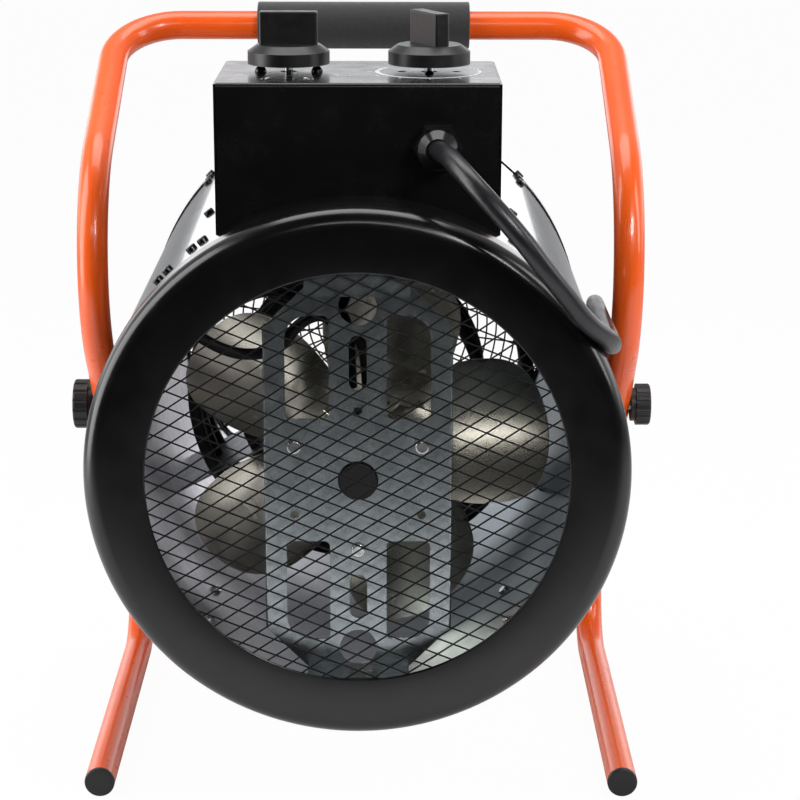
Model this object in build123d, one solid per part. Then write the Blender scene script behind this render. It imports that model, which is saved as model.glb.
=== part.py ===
from build123d import *
import os
from math import asin, atan2, cos, degrees, hypot, pi, radians, sin, sqrt, tan

# Forced air heater on a bent tube stand.
# Millimetres. X is to the right seen from the intake, Y runs with the air from
# the intake to the outlet, Z is up and the floor is Z = 0.

# ---- Fits -----------------------------------------------------------------
running_gap = 0.3          # between pieces that move past each other
seat_gap = 0.3             # between sheet sleeves that slip into each other
shaft_gap = 0.05           # radial, on shafts and studs in their bores
cut_reach = 20.0           # how far a cutting pin runs past the wall it goes through

# ---- Casing and rings -------------------------------------------------------
axis_height = 258.0        # heater axis above the floor
casing_radius = 159.5
casing_wall = 1.2
casing_front_y = -189.0
casing_rear_y = 187.6
ring_wall = 1.2
ring_rounding = 11.0
intake_face_y = -202.0
intake_skirt_rear_y = -175.0
intake_lip = 37.0          # width of the ring's front, from its outside to the opening
outlet_face_y = 202.0
outlet_bead = 0.8          # how far the outlet ring stands proud of the casing
outlet_rounding = 3.0
outlet_sleeve_front_y = 174.0
outlet_lip_length = 12.0
seam_width = 0.7

# ---- Intake mesh ------------------------------------------------------------
mesh_thickness = 1.0
mesh_strand = 1.3
mesh_margin = 15.0         # from the ring's outside to the mesh rim
mesh_pitch_a = 16.4        # vertical spacing of the strands that rise to the right
mesh_pitch_b = 15.0        # vertical spacing of the strands that fall to the right
mesh_slope_a = 0.68
mesh_slope_b = -0.40
mesh_smallest_hole = 24.0  # mm2, smaller scraps at the rim stay closed
retainer_setback = 3.5     # behind the edge of the opening
retainer_thickness = 1.2

# ---- Inner duct and what carries it -------------------------------------------
duct_gap = 20.3            # between the duct and the inside of the casing
duct_wall = 1.0
duct_front_y = -186.0
duct_rear_y = 200.0
bracket_wall = 1.5
bracket_span = 42.0        # width of a duct bracket round the duct
bracket_length = 70.0
bracket_rear_length = 24.0
bracket_angles = (-42.5, 42.5, 138.0, -138.0)
bracket_front_y = -137.0
bracket_rear_y = 161.5
duct_screw_angles = (138.0, -138.0)
duct_screw_ys = (-161.0, -110.0)

# ---- Pan head screws of the sheet metal ------------------------------------------
screw_head = 3.4
screw_head_height = 2.3
screw_shank = 1.9
screw_seat = 0.05

# ---- Motor, its plate and the fan ---------------------------------------------
motor_drop = 7.0           # motor axis below the heater axis
plate_front_y = -177.0
plate_thickness = 1.5
plate_bend = 1.4           # outer radius where the flanges turn
plate_width = 112.0
plate_clearance = 11.5     # from the low end of the plate to the duct
plate_chamfer = 25.5
plate_flange = 13.0        # depth of the long side flanges
tab_overlap = 16.0         # how far the fixing tabs reach past the intake opening
stud_setback = 9.5         # from the intake opening to the fixing studs
slot_inner_x = 17.0
slot_outer_x = 43.0
slot_near_z = 38.0         # from the motor axis to the near end of the big slots
slot_end_margin = 17.8     # from the far end of the big slots to the plate's end
slot_big_corner = 14.0
slot_small_corner = 3.5
plate_centre_hole = 12.0
plate_end_hole = 11.3
end_hole_margin = 12.5
small_slot_radius = 5.3
upper_slot_margins = (63.1, 29.8)
lower_slot_margins = (31.4, 59.1)
low_pin_holes = (37.7, -21.4)
high_pin_hole_margin = 75.3
plate_pin_hole = 2.6
stud_radius = 2.5
motor_radius = 36.0
motor_length = 35.0
motor_rounding = 4.0
motor_lug_radius = 7.0
motor_lug_thickness = 3.0
motor_screw_circle = 43.5
motor_screw_angles = (61.0, -61.0, 180.0)
motor_screw_radius = 2.0
motor_screw_head = 4.3
shaft_radius = 4.0
fan_y = -90.0
fan_clearance = 11.0       # from the lowest blade tip to the duct
fan_disc_radius = 46.0
fan_sheet = 1.4
fan_blade_count = 5
fan_blade_half_width = 46.0
fan_blade_pitch = -24.0    # degrees out of the fan's plane
fan_blade_camber = 115.0   # radius that the blades are rolled to
fan_first_angle = 12.0     # clockwise from straight up
hub_radius = 14.0
hub_length = 17.0
nut_flats = 13.0
nut_height = 5.0

# ---- Heating elements -----------------------------------------------------------
element_ys = (-6.0, 20.0, 46.0)
element_radius = 4.25
element_clearance = 25.0   # from the outer ring's centre line to the duct
element_spacing = 32.0
element_leg_x = (26.0, 0.0)
element_leg_fillet = 13.0
element_return_angle = 20.0
element_leg_stand = 9.0    # how far the legs stand out of the duct
terminal_radius = 2.0
terminal_length = 6.0
ferrule_radius = 8.0
ferrule_stand = 5.0
ferrule_length = 23.0
support_thickness = 1.5
support_angles = (118.0, -118.0)
support_overhang = 10.0    # past the inner ring
support_margin = 12.0
lead_radius = 1.6
lead_run_x = 33.0
lead_spacing = 4.5
lead_lift = 2.5            # above the tops of the legs
busbar_width = 8.0
busbar_thickness = 1.5
bulb_angle = 29.1          # from straight up
bulb_lift = 6.0            # its axis above the duct
bulb_front_y = -140.0
bulb_length = 50.0
bulb_clip_y = -115.0
bulb_clip_size = (9.0, 6.0, 12.5)
capillary_radius = 0.9
capillary_bend = 9.0
capillary_hole_radius = 2.2
capillary_end = (57.0, -82.0)
capillary_run = 18.0
bulb_radius = 3.0
capillary_y = -62.0
cutout_y = 110.0
cutout_radius = 9.0
cutout_height = 10.0

# ---- Outlet grille ---------------------------------------------------------------
grille_y = 194.0
grille_wire = 2.2
grille_rings = 9
grille_spokes = 12
grille_boss_radius = 14.0

# ---- Leads between the casing and the box ---------------------------------------------
lead_slot_x = 32.0
lead_slot_y = -95.0
lead_slot_size = (24.0, 16.0, 40.0)
grommet_depth = 7.0
motor_lead_x = -60.0
motor_lead_y = -136.0
motor_lead_radius = 3.4
motor_lead_route = (       # from the motor axis at the back of the plate
    (-22.0, 24.0, 25.0),
    (-38.0, 26.5, 58.0),
    (-53.0, 32.5, 92.0),
)
motor_lead_bend = 7.3      # under the hole in the duct
motor_lead_end = 4.0       # under the tray

# ---- Control box -------------------------------------------------------------------
box_width = 168.0
box_front_y = -148.0
box_depth = 110.0
box_rise = 65.5            # above the top of the casing
box_wall = 1.2
box_bend = 2.5
box_seam = 0.3
tray_lift = 3.5            # above the top of the casing
knob_x = 42.3
knob_y = -92.5
knob_radius = 24.7
knob_lift = 5.0            # gap under the knob skirt
knob_rim = 7.5
knob_cone = 4.0
knob_cone_top_radius = 19.0
knob_wing_length = 35.0
knob_wing_thickness = 9.5
knob_wing_height = 19.5
knob_shell = 2.2
mode_knob_turn = 0.0
thermostat_knob_turn = -64.0
spindle_radius = 3.0
spindle_length = 24.0
switch_size = (46.0, 46.0, 34.0)
thermostat_size = (44.0, 38.0, 26.0)
dome_screw_offset = 17.0
dome_screw_radius = 3.6
dome_screw_height = 3.4
panel_screw_shank = 1.5
screw_end_gap = 3.0
switch_screw_hole = 14.0
switch_tab_count = 4
switch_tab_pitch = 10.0
switch_tab_width = 3.0
switch_tab_length = 4.0
switch_tab_thickness = 1.0
switch_tab_drop = 24.0
thermostat_screw_hole = 12.0
silver_screw_y = -9.0
silver_screw_radius = 2.8
silver_screw_height = 1.9
spare_hole_offset = 16.5
spare_hole_radius = 2.6
gland_inset = 37.5         # from the side of the box
gland_drop = 36.5          # below its top
gland_flats = 24.0
gland_nut_length = 15.0
gland_hex_length = 5.0
gland_thread_radius = 9.8
contactor_size = (32.0, 44.0, 40.0)
contactor_x = 1.0
contactor_setback = 30.0
terminal_block_size = (46.0, 22.0, 20.0)
terminal_block_inset = 35.0
terminal_block_setback = 32.0
terminal_bore = 2.8
terminal_count = 5

# ---- Pivot and clamps ------------------------------------------------------------------
pivot_drop = 19.0          # below the heater axis
clamp_stud_radius = 4.0
clamp_stud_stand = 6.0     # from the duct to the stud's end
boss_radius = 12.0
saddle_radius = 16.0
saddle_depth = 4.2
clamp_collar_radius = 11.5
clamp_collar_length = 3.5
clamp_reach = 13.5         # outside the stand tube
clamp_knob_radius = {"left": 16.8, "right": 14.2}
clamp_knob_flutes = 16
clamp_flute_depth = 0.9

# ---- Stand --------------------------------------------------------------------------------
tube_radius = 10.0
tube_wall = 1.5
runner_front_y = -80.0
floor_corner_y = 238.5
floor_bend = 40.0
front_corner_y = -81.1
front_corner_rise = 110.9  # above the heater axis
front_bend = 88.0
bar_y = 156.5
bar_lift = 1.6             # above the top of the box
bar_bend = 45.0
grip_radius = 16.5
grip_length = 150.0
cap_thickness = 3.0
cap_plug_length = 16.0

# ---- Mains cord ------------------------------------------------------------------------------
cord_radius = 5.75
cord_cut_radius = 54.0     # the two free stretches part on this circle round the pivot
cord_cut_gap = 0.3
cord_split_y = 60.0        # behind this the whole cord belongs to the stand
cord_near_points = (
    (46.2, -165.1, 447.0),
    (47.8, -184.2, 444.1),
    (52.9, -201.7, 437.6),
    (62.3, -215.9, 428.0),
    (75.4, -225.6, 415.5),
    (91.2, -228.7, 402.6),
    (109.8, -224.4, 388.9),
    (123.3, -214.1, 377.1),
    (134.8, -204.0, 363.4),
    (142.9, -190.1, 351.3),
    (148.0, -173.0, 342.5),
    (151.5, -149.9, 336.4),
    (152.0, -116.0, 330.5),
    (152.4, -78.0, 326.5),
    (153.0, -39.0, 324.0),
    (154.0, 0.0, 320.5),
    (161.0, 29.0, 303.0),
    (167.5, 50.0, 276.0),
)
cord_rear_points = (
    (154.0, 0.0, 320.5),
    (161.0, 29.0, 303.0),
    (167.5, 50.0, 276.0),
    (171.0, 68.0, 246.0),
    (172.0, 90.0, 214.0),
    (172.0, 117.0, 185.0),
    (172.0, 147.0, 154.0),
    (172.0, 176.0, 121.0),
    (171.5, 199.0, 88.0),
    (168.0, 214.0, 58.0),
    (159.0, 222.5, 35.0),
    (143.0, 228.5, 18.5),
    (122.0, 231.5, 9.6),
    (96.0, 232.6, 7.2),
)
coil_centre = (40.0, 305.0)
coil_turn_pitch = 12.3
coil_outer_radius = 72.0
coil_floor_turns = 1.5
coil_turns = 3.0
coil_base_z = 6.75
tie_thickness = 0.8
tie_width = 12.0
tie_side_gap = 0.8         # the band is straight and the cord under it is curved
tie_level_gap = 0.15
plug_centre_z = 31.5
cord_tail_points = (
    (-5.0, 240.5, 23.0),
    (-25.0, 247.0, 28.5),
    (-41.0, 258.5, plug_centre_z),
    (-55.0, 273.5, plug_centre_z),
)
plug_length = 118.0
plug_collar_radius = 31.0
plug_collar_length = 46.0
plug_body_radius = 25.0
plug_neck_radius = 13.0
plug_pin_circle = 15.0
plug_pin_radius = 2.5

# ---- Worked out ---------------------------------------------------------------------------------
casing_bore = casing_radius - casing_wall
casing_top_z = axis_height + casing_radius
intake_ring_radius = casing_radius + seat_gap + ring_wall
intake_opening_radius = intake_ring_radius - intake_lip
mesh_radius = intake_ring_radius - mesh_margin
retainer_inner_radius = intake_opening_radius + retainer_setback
duct_radius = casing_bore - duct_gap
duct_bore = duct_radius - duct_wall
motor_z = axis_height - motor_drop
plate_reach = duct_bore - motor_drop - plate_clearance
plate_tab_reach = intake_opening_radius + tab_overlap
plate_stud_reach = intake_opening_radius + stud_setback
slot_far_z = plate_reach - slot_end_margin
plate_end_hole_z = plate_reach - end_hole_margin
upper_small_slot = [plate_reach - margin for margin in upper_slot_margins]
lower_small_slot = [margin - plate_reach for margin in lower_slot_margins]
low_pin_x, low_pin_z = low_pin_holes
plate_pin_holes = ((low_pin_x, low_pin_z), (-low_pin_x, low_pin_z), (0.0, plate_reach - high_pin_hole_margin))
fan_tip_radius = duct_bore - motor_drop - fan_clearance
element_outer_ring = duct_bore - element_clearance
element_inner_ring = element_outer_ring - element_spacing
element_leg_top = duct_radius + element_leg_stand
terminal_top = element_leg_top + terminal_length
ferrule_top = duct_radius + ferrule_stand
support_inner_radius = element_inner_ring - support_overhang
lead_run_z = axis_height + element_leg_top + lead_lift
bulb_x, bulb_rise = [(duct_radius + bulb_lift) * f(radians(bulb_angle)) for f in (sin, cos)]
motor_lead_hole_z = axis_height + sqrt(duct_radius ** 2 - motor_lead_x ** 2)
grommet_low_z = casing_top_z - grommet_depth
box_top_z = casing_top_z + box_rise
tray_z = casing_top_z + tray_lift
gland_x = box_width / 2 - gland_inset
gland_z = box_top_z - gland_drop
tube_x = casing_radius + saddle_depth + running_gap + tube_radius
front_corner = (front_corner_y, axis_height + front_corner_rise)
bar_z = box_top_z + bar_lift
pivot_z = axis_height - pivot_drop
arm_slope = (front_corner[0] - floor_corner_y) / (front_corner[1] - tube_radius)
pivot_y = floor_corner_y + (pivot_z - tube_radius) * arm_slope
clamp_stud_inner_x = duct_radius + clamp_stud_stand
clamp_knob_outer_x = tube_x + tube_radius + clamp_reach
ring_back_y = intake_face_y + ring_wall
mesh_back_y = ring_back_y + mesh_thickness
retainer_back_y = mesh_back_y + retainer_thickness
plate_back_y = plate_front_y + plate_thickness
box_rear_y = box_front_y + box_depth
cord_exit_y = box_front_y - gland_hex_length - gland_nut_length


# ---- Helpers ----------------------------------------------------------------------------------------
def along_y(sketch, front_y, rear_y):
    """Extrude an X-Z sketch from front_y to rear_y."""
    return extrude(Plane.XZ.offset(-rear_y) * sketch, amount=rear_y - front_y)


def round_bar(radius, front_y, rear_y, x=0.0, z=axis_height):
    return along_y(Pos(x, z) * Circle(radius), front_y, rear_y)


def pipe_y(outer, inner, front_y, rear_y, x=0.0, z=axis_height):
    return along_y(Pos(x, z) * (Circle(outer) - Circle(inner)), front_y, rear_y)


def pin(radius, start, end):
    """Round pin between two points."""
    axis = Vector(*end) - Vector(*start)
    plane = Plane(origin=start, z_dir=axis)
    return extrude(plane * Circle(radius), amount=axis.length)


def turned(points):
    """Revolve a closed outline of (radius, y) points round the heater axis."""
    outline = Plane.XY.offset(axis_height) * make_face(Polyline(*points, close=True))
    return revolve(outline, axis=Axis((0, 0, axis_height), (0, 1, 0)))


def on_circle(radius, angle, centre_z=axis_height):
    """Point at an angle clockwise from straight up, as (x, z)."""
    return radius * sin(radians(angle)), centre_z + radius * cos(radians(angle))


def upright_hole(radius, x, y, z):
    """Cutting pin down through a wall at height z."""
    return pin(radius, (x, y, z - cut_reach), (x, y, z + cut_reach))


def side_hole(radius, side, wall_radius):
    """Cutting pin through a wall of that radius, on the pivot axis."""
    return pin(radius, (side * (wall_radius - cut_reach), pivot_y, pivot_z),
               (side * (wall_radius + cut_reach), pivot_y, pivot_z))


def radial_pin(radius, inner, outer, angle, y):
    """Round pin that points away from the heater axis."""
    x0, z0 = on_circle(inner, angle)
    x1, z1 = on_circle(outer, angle)
    return pin(radius, (x0, y, z0), (x1, y, z1))


def hexagon(flats):
    return RegularPolygon(flats / sqrt(3), 6)


def block(low, high):
    size = [b - a for a, b in zip(low, high)]
    middle = [(a + b) / 2 for a, b in zip(low, high)]
    return Pos(*middle) * Box(*size)


def bend_radii(points, share=0.45):
    """Radius of the arc at each corner, as large as the shorter run allows."""
    spots = [Vector(*p) for p in points]
    radii = []
    for before, corner, after in zip(spots, spots[1:], spots[2:]):
        run = min((corner - before).length, (after - corner).length)
        turn = (corner - before).get_angle(after - corner)
        radii.append(share * run / tan(radians(turn / 2)))
    return radii


def tube_along(path, radius, bore=0.0):
    section = Circle(radius) - Circle(bore) if bore else Circle(radius)
    return sweep(Plane(origin=path @ 0, z_dir=path % 0) * section, path=path)


def cord_tube(points, name):
    radii = bend_radii(points)
    path = FilletPolyline(*points, radius=radii)
    tube = tube_along(path, cord_radius)
    share = tube.volume / (pi * cord_radius ** 2 * path.length)
    print(name, "length", round(path.length, 1), "volume share", round(share, 4),
          "radii", [round(r) for r in radii])
    return tube


# ---- Casing group --------------------------------------------------------------------------------------
def make_casing():
    shell = pipe_y(casing_radius, casing_bore, casing_front_y, casing_rear_y)
    for side in (-1, 1):
        shell -= side_hole(clamp_stud_radius + 1.0, side, casing_radius)
    shell -= Pos(lead_slot_x, lead_slot_y, axis_height + casing_radius) * Box(*lead_slot_size)
    shell -= Pos(motor_lead_x, motor_lead_y, axis_height + casing_radius) * Box(14, 14, 60)
    shell -= capillary_hole()
    return shell - screw_stems(casing_screw_spots() + rim_screw_spots(), casing_radius)


def make_intake_ring():
    outer = intake_ring_radius
    inner = outer - ring_wall
    centre_r = outer - ring_rounding
    centre_y = intake_face_y + ring_rounding
    small = ring_rounding - ring_wall
    edge = [
        Line((outer, intake_skirt_rear_y), (outer, centre_y)),
        CenterArc((centre_r, centre_y), ring_rounding, 0, -90),
        Line((centre_r, intake_face_y), (intake_opening_radius, intake_face_y)),
        Line((intake_opening_radius, intake_face_y), (intake_opening_radius, ring_back_y)),
        Line((intake_opening_radius, ring_back_y), (centre_r, ring_back_y)),
        CenterArc((centre_r, centre_y), small, -90, 90),
        Line((inner, centre_y), (inner, intake_skirt_rear_y)),
        Line((inner, intake_skirt_rear_y), (outer, intake_skirt_rear_y)),
    ]
    outline = Plane.XY.offset(axis_height) * make_face(Wire(edge))
    return revolve(outline, axis=Axis((0, 0, axis_height), (0, 1, 0)))


def clip_to_circle(polygon, radius, sides=72):
    """Cut a convex polygon to a many-sided circle, one side at a time."""
    for k in range(sides):
        angle = 2 * pi * (k + 0.5) / sides
        nx, nz = cos(angle), sin(angle)
        kept = []
        for (ax, az), (bx, bz) in zip(polygon, polygon[1:] + polygon[:1]):
            da = ax * nx + az * nz - radius
            db = bx * nx + bz * nz - radius
            if da <= 0:
                kept.append((ax, az))
            if da * db < 0:
                part = da / (da - db)
                kept.append((ax + part * (bx - ax), az + part * (bz - az)))
        polygon = kept
        if not polygon:
            return []
    return polygon


def polygon_area(polygon):
    pairs = zip(polygon, polygon[1:] + polygon[:1])
    return abs(sum(ax * bz - bx * az for (ax, az), (bx, bz) in pairs)) / 2


def thinned(polygon, shortest=0.4):
    """Drop corners that lie on top of the one before."""
    kept = []
    for corner in polygon:
        if not kept or hypot(corner[0] - kept[-1][0], corner[1] - kept[-1][1]) > shortest:
            kept.append(corner)
    while len(kept) > 1 and hypot(kept[0][0] - kept[-1][0], kept[0][1] - kept[-1][1]) <= shortest:
        kept.pop()
    return kept


def mesh_holes():
    """Diamond holes between two sets of slanting strands, as (x, z) polygons."""
    half_a = mesh_strand / 2 * hypot(1, mesh_slope_a)
    half_b = mesh_strand / 2 * hypot(1, mesh_slope_b)
    reach = intake_opening_radius
    count = int(2 * reach / min(mesh_pitch_a, mesh_pitch_b)) + 2
    holes = []
    for i in range(-count, count):
        for j in range(-count, count):
            a_low, a_high = i * mesh_pitch_a + half_a, (i + 1) * mesh_pitch_a - half_a
            b_low, b_high = j * mesh_pitch_b + half_b, (j + 1) * mesh_pitch_b - half_b
            corners = []
            for a, b in ((a_low, b_low), (a_high, b_low), (a_high, b_high), (a_low, b_high)):
                x = (b - a) / (mesh_slope_a - mesh_slope_b)
                corners.append((x, mesh_slope_a * x + a))
            if all(hypot(*c) > reach + mesh_pitch_a + mesh_pitch_b for c in corners):
                continue
            hole = thinned(clip_to_circle(corners, reach))
            if len(hole) > 2 and polygon_area(hole) > mesh_smallest_hole:
                holes.append(hole)
    return holes


def make_intake_mesh():
    holes = mesh_holes()
    print("intake mesh gaps", len(holes))
    rim = Wire.make_circle(mesh_radius)
    inner = [Wire.make_polygon([(x, z, 0) for x, z in hole], close=True) for hole in holes]
    net = Face(rim, inner)
    return along_y(Pos(0, axis_height) * net, ring_back_y, mesh_back_y)


def make_mesh_retainer():
    return pipe_y(mesh_radius, retainer_inner_radius, mesh_back_y, retainer_back_y)


def make_outlet_ring():
    outer = casing_radius + outlet_bead
    sleeve = casing_bore - seat_gap
    lip = duct_bore - seat_gap
    front = casing_rear_y + seam_width
    corner = outlet_rounding
    face_y = outlet_face_y
    small = corner - ring_wall
    edge = [
        Line((sleeve - ring_wall, outlet_sleeve_front_y), (sleeve, outlet_sleeve_front_y)),
        Line((sleeve, outlet_sleeve_front_y), (sleeve, front)),
        Line((sleeve, front), (outer, front)),
        Line((outer, front), (outer, face_y - corner)),
        CenterArc((outer - corner, face_y - corner), corner, 0, 90),
        Line((outer - corner, face_y), (lip - ring_wall, face_y)),
        Line((lip - ring_wall, face_y), (lip - ring_wall, face_y - outlet_lip_length)),
        Line((lip - ring_wall, face_y - outlet_lip_length), (lip, face_y - outlet_lip_length)),
        Line((lip, face_y - outlet_lip_length), (lip, face_y - ring_wall)),
        Line((lip, face_y - ring_wall), (outer - corner, face_y - ring_wall)),
        CenterArc((outer - corner, face_y - corner), small, 90, -90),
        Line((outer - ring_wall, face_y - corner), (outer - ring_wall, front + ring_wall)),
        Line((outer - ring_wall, front + ring_wall), (sleeve - ring_wall, front + ring_wall)),
        Line((sleeve - ring_wall, front + ring_wall), (sleeve - ring_wall, outlet_sleeve_front_y)),
    ]
    outline = Plane.XY.offset(axis_height) * make_face(Wire(edge))
    ring = revolve(outline, axis=Axis((0, 0, axis_height), (0, 1, 0)))
    return ring - screw_stems(rim_screw_spots() + outlet_screw_spots(), casing_radius)


def make_outlet_grille():
    """Rings and spokes as one holed face, welded inside the outlet lip."""
    rim = duct_bore - seat_gap - ring_wall
    half = grille_wire / 2
    pitch = (rim - grille_boss_radius) / grille_rings
    holes = []
    for ring in range(grille_rings):
        low = grille_boss_radius + ring * pitch + half
        high = low + pitch - grille_wire
        for spoke in range(grille_spokes):
            start = 360 / grille_spokes * spoke
            end = start + 360 / grille_spokes
            low_trim, high_trim = degrees(asin(half / low)), degrees(asin(half / high))
            low_arc = CenterArc((0, 0), low, start + low_trim, end - start - 2 * low_trim)
            high_arc = CenterArc((0, 0), high, start + high_trim, end - start - 2 * high_trim)
            sides = [Line(low_arc @ 1, high_arc @ 1), Line(low_arc @ 0, high_arc @ 0)]
            holes.append(Wire([low_arc, sides[0], high_arc, sides[1]]))
    print("outlet grille gaps", len(holes))
    net = Face(Wire.make_circle(rim), holes)
    return along_y(Pos(0, axis_height) * net, grille_y - half, grille_y + half)


# ---- Duct group ------------------------------------------------------------------------------------------
def make_inner_duct():
    duct = pipe_y(duct_radius, duct_bore, duct_front_y, duct_rear_y)
    for y in element_ys:
        for x in element_leg_x:
            duct -= upright_hole(element_radius + shaft_gap, x, y, axis_height + duct_radius)
    duct -= upright_hole(motor_lead_radius + 1.0, motor_lead_x, motor_lead_y, motor_lead_hole_z)
    return duct - screw_stems(duct_screw_spots(), duct_radius)


def make_duct_brackets():
    """Folded sheet boxes that hold the duct inside the casing."""
    gap = Circle(casing_bore) - Circle(duct_radius)
    hollow = Circle(casing_bore - bracket_wall) - Circle(duct_radius + bracket_wall)
    deep = casing_bore - duct_radius + 16
    middle = (casing_bore + duct_radius) / 2
    holes = screw_stems(casing_screw_spots(), casing_bore) + screw_stems(duct_screw_spots(), duct_radius)
    brackets = []
    for y, length in ((bracket_front_y, bracket_length), (bracket_rear_y, bracket_rear_length)):
        for angle in bracket_angles:
            x, z = on_circle(middle, angle, 0)
            seat = Pos(x, z) * Rot(0, 0, -angle)
            box = seat * Rectangle(bracket_span, deep) & gap
            void = seat * Rectangle(bracket_span - 2 * bracket_wall, deep) & hollow
            body = along_y(Pos(0, axis_height) * (box - void), y - length / 2, y + length / 2)
            brackets.append((body - holes).solids().sort_by(SortBy.VOLUME)[-1])
    return Compound(children=brackets)


def screw_stems(spots, wall_radius):
    """Shanks of pan head screws through a wall; spots are (angle, y)."""
    low, high = wall_radius - cut_reach / 2, wall_radius + cut_reach / 2
    return [radial_pin(screw_shank, low, high, angle, y) for angle, y in spots]


def pan_screws(spots, radius, length, sign):
    """Pan head screws on a cylinder; sign is 1 for heads outside and -1 for inside."""
    screws = []
    for angle, y in spots:
        head = radial_pin(screw_head, radius, radius + sign * screw_head_height, angle, y)
        x, z = on_circle(radius + sign * 50, angle)
        crown = head.edges().filter_by(GeomType.CIRCLE).sort_by_distance((x, y, z))[0]
        head = fillet(crown, screw_head_height * 0.45)
        stem = radial_pin(screw_shank, radius - sign * length, radius + sign * 1.0, angle, y)
        screws.append((head + stem).solids()[0])
    return Compound(children=screws)


def casing_screw_spots():
    spots = []
    for side in (-1, 1):
        for angle in (35.5, 38.5, 45.5, 48.5, 136.5, 139.5):
            spots.append((side * angle, bracket_front_y))
        spots.append((side * 37.5, -31.0))
        for angle in (45.5, 138.0):
            spots.append((side * angle, bracket_rear_y + 3))
    return spots


def rim_screw_spots():
    """Screws that hold the casing on the sleeve of the outlet ring."""
    return [(side * 45.5, outlet_sleeve_front_y + 8) for side in (-1, 1)]


def outlet_screw_spots():
    return [(side * 45.5, casing_rear_y + 8) for side in (-1, 1)]


def duct_screw_spots():
    return [(angle, y) for angle in duct_screw_angles for y in duct_screw_ys]


def make_casing_screws():
    return pan_screws(casing_screw_spots() + rim_screw_spots(), casing_radius + screw_seat, 3.6, 1)


def make_outlet_screws():
    return pan_screws(outlet_screw_spots(), casing_radius + outlet_bead + screw_seat, 3.2, 1)


def make_duct_screws():
    return pan_screws(duct_screw_spots(), duct_bore - screw_seat, 4.0, -1)


# ---- Motor group -------------------------------------------------------------------------------------------
def slot_face(x_low, x_high, z_low, z_high, round_x, round_z):
    """Slot with one large corner and three small ones."""
    face = Pos((x_low + x_high) / 2, (z_low + z_high) / 2) * Rectangle(x_high - x_low, z_high - z_low)
    far = Vector(round_x, round_z, 0)
    big = face.vertices().sort_by_distance(far)[0]
    face = fillet(big, slot_big_corner)
    corners = [v for v in face.vertices()
               if min(abs(v.X - x_low), abs(v.X - x_high)) < 1e-6
               and min(abs(v.Y - z_low), abs(v.Y - z_high)) < 1e-6]
    return fillet(corners, slot_small_corner)


def plate_outline():
    w = plate_width / 2
    top = plate_reach
    c = plate_chamfer
    corners = ((-w, top - c), (-w + c, top), (w - c, top), (w, top - c),
               (w, c - top), (w - c, -top), (c - w, -top), (-w, c - top))
    return make_face(Polyline(*corners, close=True))


def stud_z(sign):
    return axis_height + sign * plate_stud_reach


def make_motor_bracket():
    cuts = Circle(plate_centre_hole)
    for sign in (1, -1):
        for side in (1, -1):
            xs = sorted((side * slot_inner_x, side * slot_outer_x))
            zs = sorted((sign * slot_near_z, sign * slot_far_z))
            cuts += slot_face(*xs, *zs, side * slot_outer_x, sign * slot_far_z)
        cuts += Pos(0, sign * plate_end_hole_z) * Circle(plate_end_hole)
    for low, high in (upper_small_slot, lower_small_slot):
        cuts += Pos(0, (low + high) / 2) * Rot(0, 0, 90) * SlotOverall(high - low, 2 * small_slot_radius)
    for x, z in plate_pin_holes:
        cuts += Pos(x, z) * Circle(plate_pin_hole)
    for angle in motor_screw_angles:
        x, z = on_circle(motor_screw_circle, angle, 0)
        cuts += Pos(x, z) * Circle(motor_screw_radius)
    plate = along_y(Pos(0, motor_z) * (plate_outline() - cuts), plate_front_y, plate_back_y)
    low, high = motor_z - plate_reach + plate_chamfer, motor_z + plate_reach - plate_chamfer
    half = plate_width / 2
    for side in (-1, 1):
        xs = sorted((side * half, side * (half - plate_thickness)))
        plate += block((xs[0], plate_front_y, low), (xs[1], plate_front_y + plate_flange, high))
    corners = [e for e in plate.edges().filter_by(Axis.Z)
               if abs(e.center().Y - plate_front_y) < 0.01 and abs(abs(e.center().X) - half) < 0.01]
    plate = fillet(corners, plate_bend)
    half = plate_width / 2 - plate_chamfer
    seat = retainer_back_y
    for sign in (1, -1):
        zs = sorted((motor_z + sign * plate_reach, motor_z + sign * (plate_reach - plate_thickness)))
        plate += block((-half, seat, zs[0]), (half, plate_back_y, zs[1]))
        zs = sorted((motor_z + sign * (plate_reach - plate_thickness), axis_height + sign * plate_tab_reach))
        tab = block((-half, seat, zs[0]), (half, seat + plate_thickness, zs[1]))
        plate += tab - round_bar(stud_radius, seat - 1, seat + 5, 0, stud_z(sign))
    return plate


def make_bracket_fixings():
    """Weld studs on the back of the intake ring, each with its nut."""
    pieces = []
    seat = retainer_back_y + plate_thickness
    for sign in (1, -1):
        pieces.append(round_bar(stud_radius, ring_back_y, seat + 7.0, 0, stud_z(sign)))
        ring = Pos(0, stud_z(sign)) * (hexagon(8.0) - Circle(stud_radius))
        pieces.append(along_y(ring, seat, seat + 4.0))
    return Compound(children=[p.solids()[0] for p in pieces])


def with_stud_holes(piece):
    for sign in (1, -1):
        piece -= round_bar(stud_radius, ring_back_y - 1, retainer_back_y + 1, 0, stud_z(sign))
    return piece


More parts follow.
